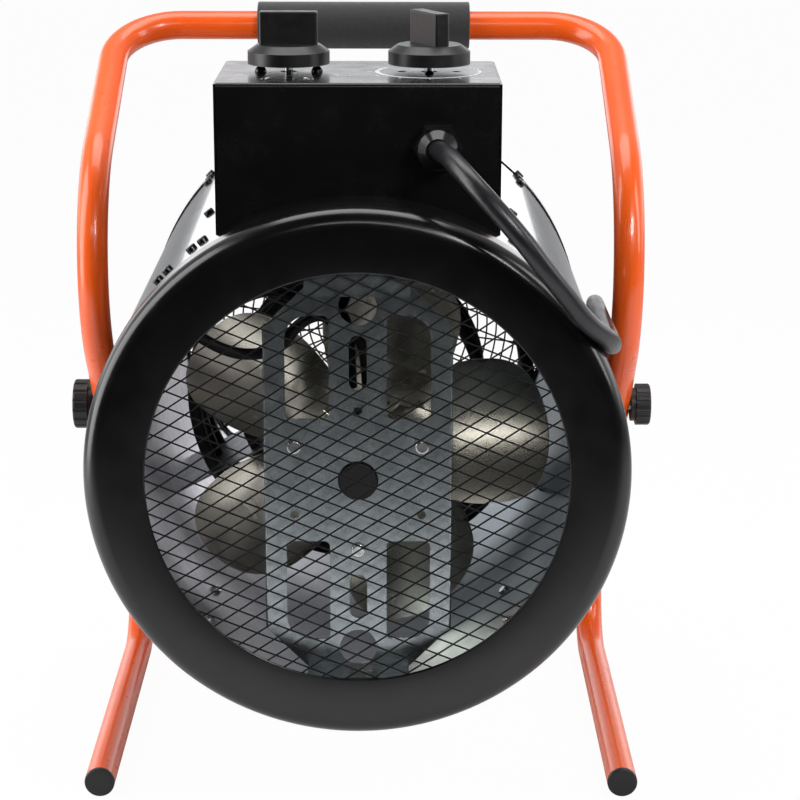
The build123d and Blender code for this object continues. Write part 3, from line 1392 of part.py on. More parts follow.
PIECES = {
    "casing": make_casing,
    "intake_ring": make_intake_ring,
    "intake_mesh": lambda: with_stud_holes(make_intake_mesh()),
    "mesh_retainer": lambda: with_stud_holes(make_mesh_retainer()),
    "outlet_ring": make_outlet_ring,
    "outlet_grille": make_outlet_grille,
    "inner_duct": make_inner_duct,
    "duct_brackets": make_duct_brackets,
    "casing_screws": make_casing_screws,
    "outlet_screws": make_outlet_screws,
    "duct_screws": make_duct_screws,
    "motor_bracket": make_motor_bracket,
    "bracket_fixings": make_bracket_fixings,
    "motor_housing": make_motor_housing,
    "motor_screws": make_motor_screws,
    "motor_leads": make_motor_leads,
    "fan_wheel": make_fan_wheel,
    "fan_hub": make_fan_hub,
    "fan_shaft": make_fan_shaft,
    "fan_nut": make_fan_nut,
    "heating_element_1": lambda: make_heating_element(element_ys[0]),
    "heating_element_2": lambda: make_heating_element(element_ys[1]),
    "heating_element_3": lambda: make_heating_element(element_ys[2]),
    "element_ferrules": make_element_ferrules,
    "element_supports": make_element_supports,
    "star_busbar": make_star_busbar,
    "phase_leads": make_phase_leads,
    "thermal_cutout": make_thermal_cutout,
    "box_cover": make_box_cover,
    "box_side_panels": make_box_side_panels,
    "component_tray": make_component_tray,
    "rotary_switch": make_rotary_switch,
    "thermostat_body": make_thermostat_body,
    "panel_screws": make_panel_screws,
    "mode_knob": lambda: make_control_knob(-knob_x, mode_knob_turn),
    "mode_spindle": lambda: make_spindle(-knob_x),
    "thermostat_knob": lambda: make_control_knob(knob_x, thermostat_knob_turn),
    "thermostat_spindle": lambda: make_spindle(knob_x),
    "contactor": make_contactor,
    "terminal_block": make_terminal_block,
    "sensor_bulb": make_sensor_bulb,
    "lead_grommet": make_lead_grommet,
    "cable_gland": make_cable_gland,
    "gland_nut": make_gland_nut,
    "pivot_bosses": make_pivot_bosses,
    "pivot_saddles": make_pivot_saddles,
    "clamp_knob_left": lambda: make_clamp_knob(-1, clamp_knob_radius["left"]),
    "clamp_stud_left": lambda: make_clamp_stud(-1),
    "clamp_knob_right": lambda: make_clamp_knob(1, clamp_knob_radius["right"]),
    "clamp_stud_right": lambda: make_clamp_stud(1),
    "stand_frame": make_stand_frame,
    "hand_grip": make_hand_grip,
    "end_caps": make_end_caps,
    "cord_near_stretch": make_cord_near_stretch,
    "cord_rear_stretch": make_cord_rear_stretch,
    "cord_coil": make_cord_coil,
    "coil_tie": make_coil_tie,
    "cord_tail": make_cord_tail,
    "plug_body": make_plug_body,
    "plug_pins": make_plug_pins,
}

os.makedirs("parts", exist_ok=True)
for name, make in PIECES.items():
    export_step(make(), f"parts/{name}.step")
print(len(PIECES), "nodes")
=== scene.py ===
from math import cos, hypot, pi, radians, sin, sqrt

import bmesh
import bpy
from mathutils import Matrix, Vector


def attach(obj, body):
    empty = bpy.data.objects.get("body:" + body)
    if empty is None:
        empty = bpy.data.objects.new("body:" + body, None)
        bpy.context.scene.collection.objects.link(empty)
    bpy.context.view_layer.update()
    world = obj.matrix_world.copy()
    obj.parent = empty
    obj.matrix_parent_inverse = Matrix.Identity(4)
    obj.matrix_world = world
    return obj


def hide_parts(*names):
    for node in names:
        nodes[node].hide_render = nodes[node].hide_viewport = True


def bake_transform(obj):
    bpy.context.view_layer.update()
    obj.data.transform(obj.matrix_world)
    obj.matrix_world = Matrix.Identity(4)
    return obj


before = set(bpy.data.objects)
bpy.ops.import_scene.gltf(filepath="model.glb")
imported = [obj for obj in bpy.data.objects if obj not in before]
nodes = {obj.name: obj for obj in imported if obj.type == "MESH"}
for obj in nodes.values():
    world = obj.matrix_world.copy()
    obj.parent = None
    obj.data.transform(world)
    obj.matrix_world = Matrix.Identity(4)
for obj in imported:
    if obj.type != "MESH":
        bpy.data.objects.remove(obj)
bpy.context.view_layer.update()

MM = 0.001
scene = bpy.context.scene

# ---- Sizes, in millimetres, as in part.py --------------------------------------------
axis_height = 258.0
motor_z = 251.0
ring_radius = 161.0
ring_rounding = 11.0
ring_wall = 1.2
intake_face_y = -202.0
intake_opening = 124.0
fan_y = -90.0
fan_tip = 119.0
fan_disc = 46.0
fan_bore = 4.2
half_sheet = 0.7
fan_first_angle = 14.0
blade_root = 30.0
blade_half = 46.0
blade_pitch = -24.0
blade_sag = 9.6
cord_radius = 5.75


# ---- Material helpers ----------------------------------------------------------------
class Shader:
    """Small wrapper round one material's node tree."""

    def __init__(self, name):
        self.material = bpy.data.materials.new(name)
        self.material.use_nodes = True
        self.tree = self.material.node_tree
        self.bsdf = self.tree.nodes["Principled BSDF"]

    def node(self, kind, **settings):
        made = self.tree.nodes.new(kind)
        for key, value in settings.items():
            setattr(made, key, value)
        return made

    def link(self, a, b):
        self.tree.links.new(a, b)

    def put(self, **values):
        names = {"metal": "Metallic", "rough": "Roughness", "spec": "Specular IOR Level",
                 "coat": "Coat Weight", "coat_rough": "Coat Roughness", "sheen": "Sheen Weight",
                 "sheen_rough": "Sheen Roughness"}
        for key, value in values.items():
            self.bsdf.inputs[names[key]].default_value = value
        return self

    def place(self, scale=(1, 1, 1)):
        """Object coordinates in millimetres, stretched by scale."""
        coords = self.node("ShaderNodeTexCoord")
        mapping = self.node("ShaderNodeMapping")
        mapping.inputs["Scale"].default_value = [1000.0 * s for s in scale]
        self.link(coords.outputs["Object"], mapping.inputs["Vector"])
        return mapping.outputs["Vector"]

    def noise(self, size, detail=4.0, rough=0.55, stretch=(1, 1, 1)):
        made = self.node("ShaderNodeTexNoise")
        made.inputs["Scale"].default_value = 1.0 / size
        made.inputs["Detail"].default_value = detail
        made.inputs["Roughness"].default_value = rough
        self.link(self.place(stretch), made.inputs["Vector"])
        return made.outputs["Fac"]

    def ramp(self, value, stops):
        made = self.node("ShaderNodeValToRGB")
        while len(made.color_ramp.elements) < len(stops):
            made.color_ramp.elements.new(0.5)
        for element, (spot, color) in zip(made.color_ramp.elements, stops):
            element.position = spot
            element.color = (*color, 1.0) if len(color) == 3 else color
        self.link(value, made.inputs["Fac"])
        return made.outputs["Color"]

    def spread(self, value, low, high):
        made = self.node("ShaderNodeMapRange")
        made.inputs["To Min"].default_value = low
        made.inputs["To Max"].default_value = high
        made.inputs["From Min"].default_value = 0.3
        made.inputs["From Max"].default_value = 0.7
        self.link(value, made.inputs["Value"])
        return made.outputs["Result"]

    def tint(self, value, dark, light):
        self.link(self.ramp(value, [(0.3, dark), (0.7, light)]), self.bsdf.inputs["Base Color"])
        return self

    def roughness(self, value, low, high):
        self.link(self.spread(value, low, high), self.bsdf.inputs["Roughness"])
        return self

    def bump(self, value, height, strength=1.0):
        """height in millimetres"""
        made = self.node("ShaderNodeBump")
        made.inputs["Strength"].default_value = strength
        made.inputs["Distance"].default_value = height * MM
        self.link(value, made.inputs["Height"])
        before = self.bsdf.inputs["Normal"]
        if before.links:
            self.link(before.links[0].from_socket, made.inputs["Normal"])
        self.link(made.outputs["Normal"], before)
        return self

    def painted_edge_highlight(self, color, amount=0.5, radius=1.2):
        """Painted highlight: paler colour where the surface is sharply convex."""
        bevel = self.node("ShaderNodeBevel", samples=4)
        bevel.inputs["Radius"].default_value = radius * MM
        geometry = self.node("ShaderNodeNewGeometry")
        dot = self.node("ShaderNodeVectorMath", operation="DOT_PRODUCT")
        self.link(bevel.outputs["Normal"], dot.inputs[0])
        self.link(geometry.outputs["Normal"], dot.inputs[1])
        made = self.node("ShaderNodeMapRange")
        made.inputs["From Min"].default_value = 0.98
        made.inputs["From Max"].default_value = 0.75
        made.inputs["To Min"].default_value = 0.0
        made.inputs["To Max"].default_value = amount
        self.link(dot.outputs["Value"], made.inputs["Value"])
        mix = self.node("ShaderNodeMix", data_type="RGBA")
        base = self.bsdf.inputs["Base Color"]
        if base.links:
            self.link(base.links[0].from_socket, mix.inputs["A"])
        else:
            mix.inputs["A"].default_value = base.default_value
        mix.inputs["B"].default_value = (*color, 1.0)
        self.link(made.outputs["Result"], mix.inputs["Factor"])
        self.link(mix.outputs["Result"], base)
        return self


def orange_paint():
    s = Shader("orange_paint").put(rough=0.3, coat=0.35, coat_rough=0.07, spec=0.45)
    s.tint(s.noise(60, 2), (0.86, 0.1, 0.006), (0.9, 0.115, 0.009))
    s.roughness(s.noise(9, 3), 0.27, 0.34)
    return s.bump(s.noise(7, 2, 0.4), 0.02).material


def powder_black(name, base, rough, grain=0.35, height=0.02, spec=0.45):
    s = Shader(name).put(rough=rough, spec=spec)
    s.tint(s.noise(25, 3), tuple(0.85 * c for c in base), tuple(1.15 * c for c in base))
    s.roughness(s.noise(14, 4), rough - 0.03, rough + 0.04)
    s.bump(s.noise(grain * 3, 2, 0.5), height)
    return s.material


def gloss_black():
    s = Shader("gloss_black").put(rough=0.1, coat=0.35, coat_rough=0.04, spec=0.55)
    s.tint(s.noise(40, 3), (0.0035, 0.0035, 0.004), (0.0055, 0.0055, 0.006))
    s.roughness(s.noise(18, 4), 0.09, 0.15)
    return s.bump(s.noise(9, 2, 0.4), 0.012).material


def galvanised(name="galvanised", dark=(0.23, 0.25, 0.27), light=(0.37, 0.39, 0.41),
               rough=0.38, metal=0.85):
    s = Shader(name).put(metal=metal, rough=rough)
    cells = s.node("ShaderNodeTexVoronoi")
    cells.inputs["Scale"].default_value = 1 / 7.0
    s.link(s.place((1, 1, 1)), cells.inputs["Vector"])
    mix = s.node("ShaderNodeMix", data_type="RGBA")
    mix.inputs["Factor"].default_value = 0.45
    gray = s.node("ShaderNodeSeparateColor")
    s.link(cells.outputs["Color"], gray.inputs["Color"])
    s.link(s.ramp(gray.outputs["Red"], [(0.1, dark), (0.9, light)]), mix.inputs["A"])
    s.link(s.ramp(s.noise(5, 5), [(0.35, dark), (0.65, light)]), mix.inputs["B"])
    s.link(mix.outputs["Result"], s.bsdf.inputs["Base Color"])
    s.roughness(s.noise(20, 2), rough - 0.015, rough + 0.03)
    return s.bump(s.noise(14, 2, 0.5), 0.03).material


def duct_steel():
    """Galvanised sheet with painted light and shade: painted reflection of a lighter lavender grey towards -X,
    painted shade of a darker bluer grey towards +X, the leads' side.
    """
    s = Shader("duct_galvanised").put(metal=0.9, rough=0.34)
    coords = s.node("ShaderNodeTexCoord")
    split = s.node("ShaderNodeSeparateXYZ")
    s.link(coords.outputs["Object"], split.inputs["Vector"])
    across = s.node("ShaderNodeMapRange")
    across.inputs["From Min"].default_value = -0.1
    across.inputs["From Max"].default_value = 0.06
    s.link(split.outputs["X"], across.inputs["Value"])
    # Painted light and shade across the duct: lighter towards -X, darker bluish grey towards +X.
    tint = s.ramp(across.outputs["Result"], [(0.0, (0.74, 0.72, 0.76)), (1.0, (0.2, 0.24, 0.27))])
    mix = s.node("ShaderNodeMix", data_type="RGBA", blend_type="MULTIPLY")
    mix.inputs["Factor"].default_value = 1.0
    s.link(tint, mix.inputs["A"])
    s.link(s.ramp(s.noise(9, 4), [(0.35, (0.86, 0.86, 0.86)), (0.65, (1, 1, 1))]), mix.inputs["B"])
    s.link(mix.outputs["Result"], s.bsdf.inputs["Base Color"])
    s.roughness(s.noise(24, 2), 0.33, 0.38)
    return s.bump(s.noise(14, 2, 0.5), 0.03).material


def print_white():
    s = Shader("panel_print").put(rough=0.45, spec=0.4)
    s.tint(s.noise(3, 3), (0.62, 0.68, 0.72), (0.8, 0.84, 0.86))
    s.roughness(s.noise(5, 3), 0.4, 0.5)
    return s.bump(s.noise(1.2, 2, 0.5), 0.004).material


def satin_metal(name, dark, light, rough, stretch=(1, 1, 1), metal=1.0, height=0.01, size=1.6):
    s = Shader(name).put(metal=metal, rough=rough, spec=0.5)
    s.tint(s.noise(30, 2), dark, light)
    s.roughness(s.noise(24, 2, 0.5, stretch), rough - 0.01, rough + 0.015)
    return s.bump(s.noise(size, 2, 0.5, stretch), height).material


def moulded(name, base, rough, grain=0.5, height=0.03, edge=None):
    s = Shader(name).put(rough=rough, spec=0.42)
    s.tint(s.noise(12, 3), tuple(0.82 * c for c in base), tuple(1.18 * c for c in base))
    s.roughness(s.noise(6, 3), rough - 0.04, rough + 0.06)
    s.bump(s.noise(grain, 2, 0.6), height)
    # The edge colour is a painted highlight along sharp convex edges.
    if edge:
        s.painted_edge_highlight(edge, 0.35)
    return s.material


def foam():
    s = Shader("foam_sleeve").put(rough=0.92, spec=0.2, sheen=0.25, sheen_rough=0.6)
    s.tint(s.noise(3.0, 5, 0.7), (0.019, 0.019, 0.0195), (0.027, 0.027, 0.028))
    cells = s.node("ShaderNodeTexVoronoi")
    cells.inputs["Scale"].default_value = 1 / 0.9
    s.link(s.place(), cells.inputs["Vector"])
    s.bump(cells.outputs["Distance"], 0.12)
    return s.bump(s.noise(7, 3), 0.25).material


def cord_rubber():
    s = Shader("cord_rubber").put(rough=0.34, spec=0.5)
    s.tint(s.noise(9, 3), (0.006, 0.006, 0.0075), (0.01, 0.01, 0.012))
    s.roughness(s.noise(4, 3), 0.28, 0.4)
    return s.bump(s.noise(2.4, 2, 0.5), 0.02).material


M = {
    "orange": orange_paint(),
    "ring": powder_black("ring_satin_black", (0.003, 0.003, 0.0035), 0.2, 2.0, 0.002, 0.5),
    "casing": gloss_black(),
    "box": powder_black("box_satin_black", (0.0035, 0.0032, 0.0035), 0.25, 1.6, 0.004),
    "galv": galvanised(),
    "plate": galvanised("plate_galvanised", (0.31, 0.345, 0.36), (0.44, 0.48, 0.495), 0.25, 0.92),
    "duct": duct_steel(),
    "bright": satin_metal("zinc_plate", (0.62, 0.63, 0.64), (0.82, 0.82, 0.82), 0.2),
    "blade": satin_metal("blade_aluminium", (0.76, 0.72, 0.61), (0.82, 0.78, 0.67), 0.26,
                         metal=0.9, height=0.003, size=14.0),
    "element": satin_metal("element_oxide", (0.012, 0.012, 0.013), (0.03, 0.028, 0.028), 0.5,
                           metal=0.4, height=0.02),
    "wire": powder_black("wire_black", (0.003, 0.003, 0.003), 0.5, 0.4, 0.005, 0.2),
    "motor": powder_black("motor_enamel", (0.007, 0.007, 0.008), 0.45, 0.5, 0.03),
    "brass": satin_metal("brass", (0.58, 0.38, 0.13), (0.72, 0.5, 0.2), 0.28),
    "white": moulded("white_ceramic", (0.6, 0.58, 0.52), 0.5, 0.8, 0.02),
    "silicone": moulded("lead_silicone", (0.22, 0.025, 0.015), 0.55, 0.8, 0.03),
    # The last colour on the knobs and the gland is a painted highlight on their sharp edges.
    "knob": moulded("knob_plastic", (0.0075, 0.007, 0.0075), 0.36, 0.45, 0.012, (0.05, 0.048, 0.048)),
    "fluted": moulded("fluted_plastic", (0.009, 0.0085, 0.0085), 0.45, 0.45, 0.02, (0.06, 0.058, 0.056)),
    "gland": moulded("gland_nylon", (0.005, 0.005, 0.0055), 0.18, 0.6, 0.01, (0.05, 0.05, 0.052)),
    "cap": moulded("cap_plastic", (0.012, 0.012, 0.013), 0.42, 0.5, 0.025),
    "foam": foam(),
    "print": print_white(),
    "cord": cord_rubber(),
    "plug": moulded("plug_red", (0.5, 0.02, 0.012), 0.35, 0.7, 0.02),
    "phenolic": moulded("phenolic_black", (0.02, 0.02, 0.02), 0.4, 0.6, 0.02),
}

LOOKS = {
    "stand_frame": "orange", "hand_grip": "foam", "end_caps": "cap", "cord_rear_stretch": "cord",
    "cord_coil": "cord", "coil_tie": "cap", "cord_tail": "cord", "plug_body": "plug", "plug_pins": "brass",
    "casing": "casing", "intake_ring": "ring", "intake_mesh": "wire", "mesh_retainer": "ring",
    "outlet_ring": "casing", "outlet_grille": "wire", "inner_duct": "duct", "duct_brackets": "galv",
    "casing_screws": "box", "outlet_screws": "box", "duct_screws": "bright", "motor_bracket": "plate",
    "bracket_fixings": "bright", "motor_housing": "motor", "motor_screws": "bright", "motor_leads": "cord",
    "heating_element_1": "element", "heating_element_2": "element", "heating_element_3": "element",
    "element_ferrules": "brass", "element_supports": "galv", "star_busbar": "brass", "phase_leads": "silicone",
    "thermal_cutout": "white", "box_cover": "box", "box_side_panels": "box", "component_tray": "galv",
    "rotary_switch": "phenolic", "thermostat_body": "white", "panel_screws": "box", "contactor": "phenolic",
    "terminal_block": "white", "sensor_bulb": "brass", "lead_grommet": "cap", "cable_gland": "gland",
    "gland_nut": "gland", "pivot_bosses": "bright", "pivot_saddles": "cap", "cord_near_stretch": "cord",
    "fan_wheel": "blade", "fan_hub": "blade", "fan_shaft": "bright", "fan_nut": "bright", "mode_knob": "knob",
    "mode_spindle": "bright", "thermostat_knob": "knob", "thermostat_spindle": "bright",
    "clamp_knob_left": "fluted", "clamp_stud_left": "bright", "clamp_knob_right": "fluted",
    "clamp_stud_right": "bright",
}
for name, look in LOOKS.items():
    node = nodes[name]
    node.data.materials.clear()
    node.data.materials.append(M[look])


# ---- Mesh helpers --------------------------------------------------------------------
def finish_piece(name, bm, look, body, smooth=True, angle=35.0):
    """Turn a bmesh into a piece with the given look that rides a body."""
    mesh = bpy.data.meshes.new(name)
    bmesh.ops.recalc_face_normals(bm, faces=bm.faces)
    bm.to_mesh(mesh)
    bm.free()
    piece = bpy.data.objects.new(name, mesh)
    scene.collection.objects.link(piece)
    mesh.materials.append(M[look])
    if smooth:
        for face in mesh.polygons:
            face.use_smooth = True
        mesh.set_sharp_from_angle(angle=radians(angle))
    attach(piece, body)
    return piece


def arc(cr, cy, radius, start, end, count=10):
    """Profile points (radius, y) on an arc; angles in degrees from outward towards +Y."""
    made = []
    for k in range(count + 1):
        a = radians(start + (end - start) * k / count)
        made.append((cr + radius * cos(a), cy + radius * sin(a)))
    return made


def lathe(profile, segments=288, centre_z=axis_height):
    """Closed profile of (radius, y) turned round the heater axis."""
    bm = bmesh.new()
    loops = []
    for k in range(segments):
        a = 2 * pi * k / segments
        loops.append([bm.verts.new((r * cos(a) * MM, y * MM, (centre_z + r * sin(a)) * MM))
                      for r, y in profile])
    for k in range(segments):
        a, b = loops[k], loops[(k + 1) % segments]
        for i in range(len(profile)):
            j = (i + 1) % len(profile)
            bm.faces.new((a[i], b[i], b[j], a[j]))
    return bm


def rod(bm, start, end, radius, sides=8):
    """Round rod in millimetres, closed at both ends."""
    a, b = Vector(start) * MM, Vector(end) * MM
    axis = (b - a).normalized()
    side = axis.orthogonal().normalized()
    other = axis.cross(side)
    rings = []
    for spot in (a, b):
        rings.append([bm.verts.new(spot + (side * cos(t) + other * sin(t)) * radius * MM)
                      for t in (2 * pi * k / sides for k in range(sides))])
    for k in range(sides):
        j = (k + 1) % sides
        bm.faces.new((rings[0][k], rings[0][j], rings[1][j], rings[1][k]))
    bm.faces.new(rings[0][::-1])
    bm.faces.new(rings[1])


def sweep_line(bm, points, radius, sides=10, closed=False):
    """Tube through points in millimetres."""
    spots = [Vector(p) * MM for p in points]
    count = len(spots)
    rings = []
    side = None
    for k, spot in enumerate(spots):
        before = spots[k - 1] if (k or closed) else spot
        after = spots[(k + 1) % count] if (k < count - 1 or closed) else spot
        axis = (after - before).normalized()
        side = axis.orthogonal() if side is None else side - axis * side.dot(axis)
        side.normalize()
        other = axis.cross(side)
        rings.append([bm.verts.new(spot + (side * cos(t) + other * sin(t)) * radius * MM)
                      for t in (2 * pi * i / sides for i in range(sides))])
    for k in range(count if closed else count - 1):
        a, b = rings[k], rings[(k + 1) % count]
        if closed and k == count - 1:
            shift = min(range(sides), key=lambda s: (a[0].co - b[s].co).length)
            b = b[shift:] + b[:shift]
        for i in range(sides):
            j = (i + 1) % sides
            bm.faces.new((a[i], a[j], b[j], b[i]))
    if not closed:
        bm.faces.new(rings[0][::-1])
        bm.faces.new(rings[-1])


# ---- Camera, floor and light ---------------------------------------------------------
def make_camera():
    focal, pitch, yaw, roll = 2203.5, radians(15.61), radians(0.28), radians(0.14)
    forward = Vector((sin(yaw) * cos(pitch), cos(yaw) * cos(pitch), -sin(pitch)))
    right = Vector((cos(yaw), -sin(yaw), 0))
    up = right.cross(forward)
    right, up = right * cos(roll) + up * sin(roll), up * cos(roll) - right * sin(roll)
    data = bpy.data.cameras.new("camera")
    camera = bpy.data.objects.new("camera", data)
    scene.collection.objects.link(camera)
    turn = Matrix((right, up, -forward)).transposed()
    camera.matrix_world = Matrix.Translation((0.0187, -1.426, 0.6498)) @ turn.to_4x4()
    data.sensor_width = 36.0
    data.lens = focal * 36.0 / 800.0
    data.clip_start, data.clip_end = 0.05, 30.0
    scene.camera = camera


def table_depth(s):
    """0 in front of the pale table, 1 on it."""
    coords = s.node("ShaderNodeTexCoord")
    split = s.node("ShaderNodeSeparateXYZ")
    s.link(coords.outputs["Object"], split.inputs["Vector"])
    made = s.node("ShaderNodeMapRange")
    made.inputs["From Min"].default_value = -1.0
    made.inputs["From Max"].default_value = -0.65
    s.link(split.outputs["Y"], made.inputs["Value"])
    return made.outputs["Result"]


def make_floor():
    bm = bmesh.new()
    bmesh.ops.create_grid(bm, x_segments=4, y_segments=4, size=6.0)
    mesh = bpy.data.meshes.new("studio_floor")
    bm.to_mesh(mesh)
    bm.free()
    floor = bpy.data.objects.new("studio_floor", mesh)
    scene.collection.objects.link(floor)
    floor.location.z = -0.0004
    s = Shader("studio_floor").put(rough=0.6, spec=0.2)
    s.link(s.ramp(table_depth(s), [(0.0, (0.02, 0.02, 0.02)), (1.0, (0.85, 0.85, 0.86))]),
           s.bsdf.inputs["Base Color"])
    path = s.node("ShaderNodeLightPath")
    glow = s.node("ShaderNodeEmission")
    glow.inputs["Strength"].default_value = 1.0
    mix = s.node("ShaderNodeMixShader")
    soft = s.node("ShaderNodeMath", operation="MULTIPLY")
    soft.inputs[1].default_value = 0.97
    s.link(path.outputs["Is Camera Ray"], soft.inputs[0])
    s.link(soft.outputs["Value"], mix.inputs["Fac"])
    s.link(s.bsdf.outputs["BSDF"], mix.inputs[1])
    s.link(glow.outputs["Emission"], mix.inputs[2])
    out = s.tree.nodes["Material Output"]
    s.link(mix.outputs["Shader"], out.inputs["Surface"])
    mesh.materials.append(s.material)


def make_world():
    world = bpy.data.worlds.new("studio")
    scene.world = world
    world.use_nodes = True
    tree = world.node_tree
    back = tree.nodes["Background"]
    back.inputs["Color"].default_value = (0.97, 0.98, 1, 1)
    coords = tree.nodes.new("ShaderNodeTexCoord")
    split = tree.nodes.new("ShaderNodeSeparateXYZ")
    tree.links.new(coords.outputs["Generated"], split.inputs["Vector"])
    depth = tree.nodes.new("ShaderNodeMapRange")
    depth.interpolation_type = "SMOOTHSTEP"
    depth.inputs["From Min"].default_value = -0.15
    depth.inputs["From Max"].default_value = 0.45
    depth.inputs["To Min"].default_value = 0.03
    depth.inputs["To Max"].default_value = 1.9
    tree.links.new(split.outputs["Y"], depth.inputs["Value"])
    height = tree.nodes.new("ShaderNodeMapRange")
    height.interpolation_type = "SMOOTHSTEP"
    height.inputs["From Min"].default_value = 0.1
    height.inputs["From Max"].default_value = 0.42
    height.inputs["To Min"].default_value = 1.0
    height.inputs["To Max"].default_value = 0.28
    tree.links.new(split.outputs["Z"], height.inputs["Value"])
    glow = tree.nodes.new("ShaderNodeMath")
    glow.operation = "MULTIPLY"
    tree.links.new(depth.outputs["Result"], glow.inputs[0])
    tree.links.new(height.outputs["Result"], glow.inputs[1])
    tree.links.new(glow.outputs["Value"], back.inputs["Strength"])
    white = tree.nodes.new("ShaderNodeBackground")
    white.inputs["Color"].default_value = (1, 1, 1, 1)
    white.inputs["Strength"].default_value = 1.0
    path = tree.nodes.new("ShaderNodeLightPath")
    mix = tree.nodes.new("ShaderNodeMixShader")
    tree.links.new(path.outputs["Is Camera Ray"], mix.inputs["Fac"])
    tree.links.new(back.outputs["Background"], mix.inputs[1])
    tree.links.new(white.outputs["Background"], mix.inputs[2])
    tree.links.new(mix.outputs["Shader"], tree.nodes["World Output"].inputs["Surface"])


def softbox(name, spot, aim, width, height, power):
    data = bpy.data.lights.new(name, "AREA")
    data.shape = "RECTANGLE"
    data.size, data.size_y = width, height
    data.energy = power
    lamp = bpy.data.objects.new(name, data)
    scene.collection.objects.link(lamp)
    lamp.location = spot
    lamp.rotation_euler = (Vector(aim) - Vector(spot)).to_track_quat("-Z", "Y").to_euler()
    return lamp


make_camera()
make_floor()
make_world()
softbox("left_box", (-1.15, -0.25, 0.7), (0, -0.1, 0.25), 0.7, 1.5, 17)
softbox("right_box", (1.25, -0.35, 0.9), (0, -0.1, 0.25), 0.35, 1.0, 6.5)
softbox("key_box", (0.7, -1.25, 1.15), (0, -0.2, 0.2), 0.35, 0.35, 11)
softbox("front_box", (0.12, -1.38, 1.08), (0.05, -0.1, 0.25), 0.7, 0.16, 1.6)
softbox("top_box", (0.0, 0.2, 1.7), (0, 0, 0.3), 1.2, 0.8, 12)
scene.view_settings.view_transform = "Standard"
scene.view_settings.look = "None"


# ---- Intake ring, with its rolled front and hemmed edge ------------------------------
def make_ring():
    outer, rounding, wall = ring_radius, ring_rounding, ring_wall
    centre_r, centre_y = outer - rounding, intake_face_y + rounding
    profile = [(outer, -175.0)]
    profile += arc(centre_r, centre_y, rounding, 0, -90, 16)
    profile += arc(intake_opening + 0.9, intake_face_y + 0.9, 0.9, -90, -270, 8)
    profile += [(130.0, intake_face_y + 1.8), (130.3, intake_face_y + wall)]
    profile += arc(centre_r, centre_y, rounding - wall, -90, 0, 16)
    profile += [(outer - wall, -175.0)]
    ring = finish_piece("ring_shell", lathe(profile, 360), "ring", "heater", angle=50)
    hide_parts("intake_ring")


# ---- Intake mesh at its full density -------------------------------------------------
mesh_slope_a, mesh_slope_b = 0.68, -0.40
mesh_pitch_a, mesh_pitch_b = 10.8, 9.9
mesh_wire = 0.56


def chord(slope, offset, radius):
    """Ends of the chord z = slope * x + offset in a circle."""
    a, b, c = 1 + slope ** 2, 2 * slope * offset, offset ** 2 - radius ** 2
    rest = b * b - 4 * a * c
    if rest <= 0:
        return None
    ends = [(-b - sqrt(rest)) / (2 * a), (-b + sqrt(rest)) / (2 * a)]
    return [(x, slope * x + offset) for x in ends]


def make_mesh():
    bm = bmesh.new()
    reach = 145.0
    for slope, pitch, y in ((mesh_slope_a, mesh_pitch_a, -200.25), (mesh_slope_b, mesh_pitch_b, -199.95)):
        count = int(reach * hypot(1, slope) / pitch) + 2
        for k in range(-count, count + 1):
            ends = chord(slope, k * pitch, reach)
            if not ends:
                continue
            (x0, z0), (x1, z1) = ends
            steps = max(2, int(hypot(x1 - x0, z1 - z0) / 12))
            points = []
            for i in range(steps + 1):
                t = i / steps
                sway = 0.05 * sin(1.7 * k + 9 * t)
                points.append((x0 + (x1 - x0) * t, y + 0.08 * sin(2.3 * k + 14 * t),
                               axis_height + z0 + (z1 - z0) * t + sway))
            sweep_line(bm, points, mesh_wire, 6)
    mesh = finish_piece("mesh_strands", bm, "wire", "heater", angle=80)
    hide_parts("intake_mesh")


# ---- Outlet grille of round wire -----------------------------------------------------
grille_rings, grille_spokes = 17, 24
grille_core = 14
grille_reach = 135.0
grille_wire, grille_spoke = 0.62, 0.7


def make_grille():
    bm = bmesh.new()
    for k in range(grille_rings + 1):
        radius = grille_core + (grille_reach - grille_core) * k / grille_rings
        points = [(radius * cos(t), 194.6, axis_height + radius * sin(t))
                  for t in (2 * pi * i / 96 for i in range(96))]
        sweep_line(bm, points, grille_wire, 6, closed=True)
    for k in range(grille_spokes):
        a = 2 * pi * (k + 0.5) / grille_spokes
        inner = grille_core if k % 3 == 0 else 34
        rod(bm, (inner * cos(a), 193.5, axis_height + inner * sin(a)),
            (135.2 * cos(a), 193.5, axis_height + 135.2 * sin(a)), grille_spoke, 6)
    disc = [bm.verts.new((14.5 * cos(2 * pi * k / 48) * MM, y * MM,
            (axis_height + 14.5 * sin(2 * pi * k / 48)) * MM))
            for y in (193.2, 194.8) for k in range(48)]
    bm.faces.new(disc[:48])
    bm.faces.new(disc[48:][::-1])
    for k in range(48):
        j = (k + 1) % 48
        bm.faces.new((disc[k], disc[j], disc[48 + j], disc[48 + k]))
    grille = finish_piece("grille_wires", bm, "wire", "heater", angle=60)
    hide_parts("outlet_grille")


# ---- Fan wheel: stamped disc with ribs and five rolled blades ------------------------
def blade_half_width(along):
    """Half the blade's width at a distance from the fan's axis."""
    centre = (blade_root + fan_tip) / 2 + 2
    if along > centre:
        q = (along - centre) / (fan_tip - centre)
        return max(0.4, blade_half * (1 - q ** 3.2) ** 0.5)
    p = (centre - along) / (centre - blade_root)
    return blade_half - 19.0 * p ** 1.8


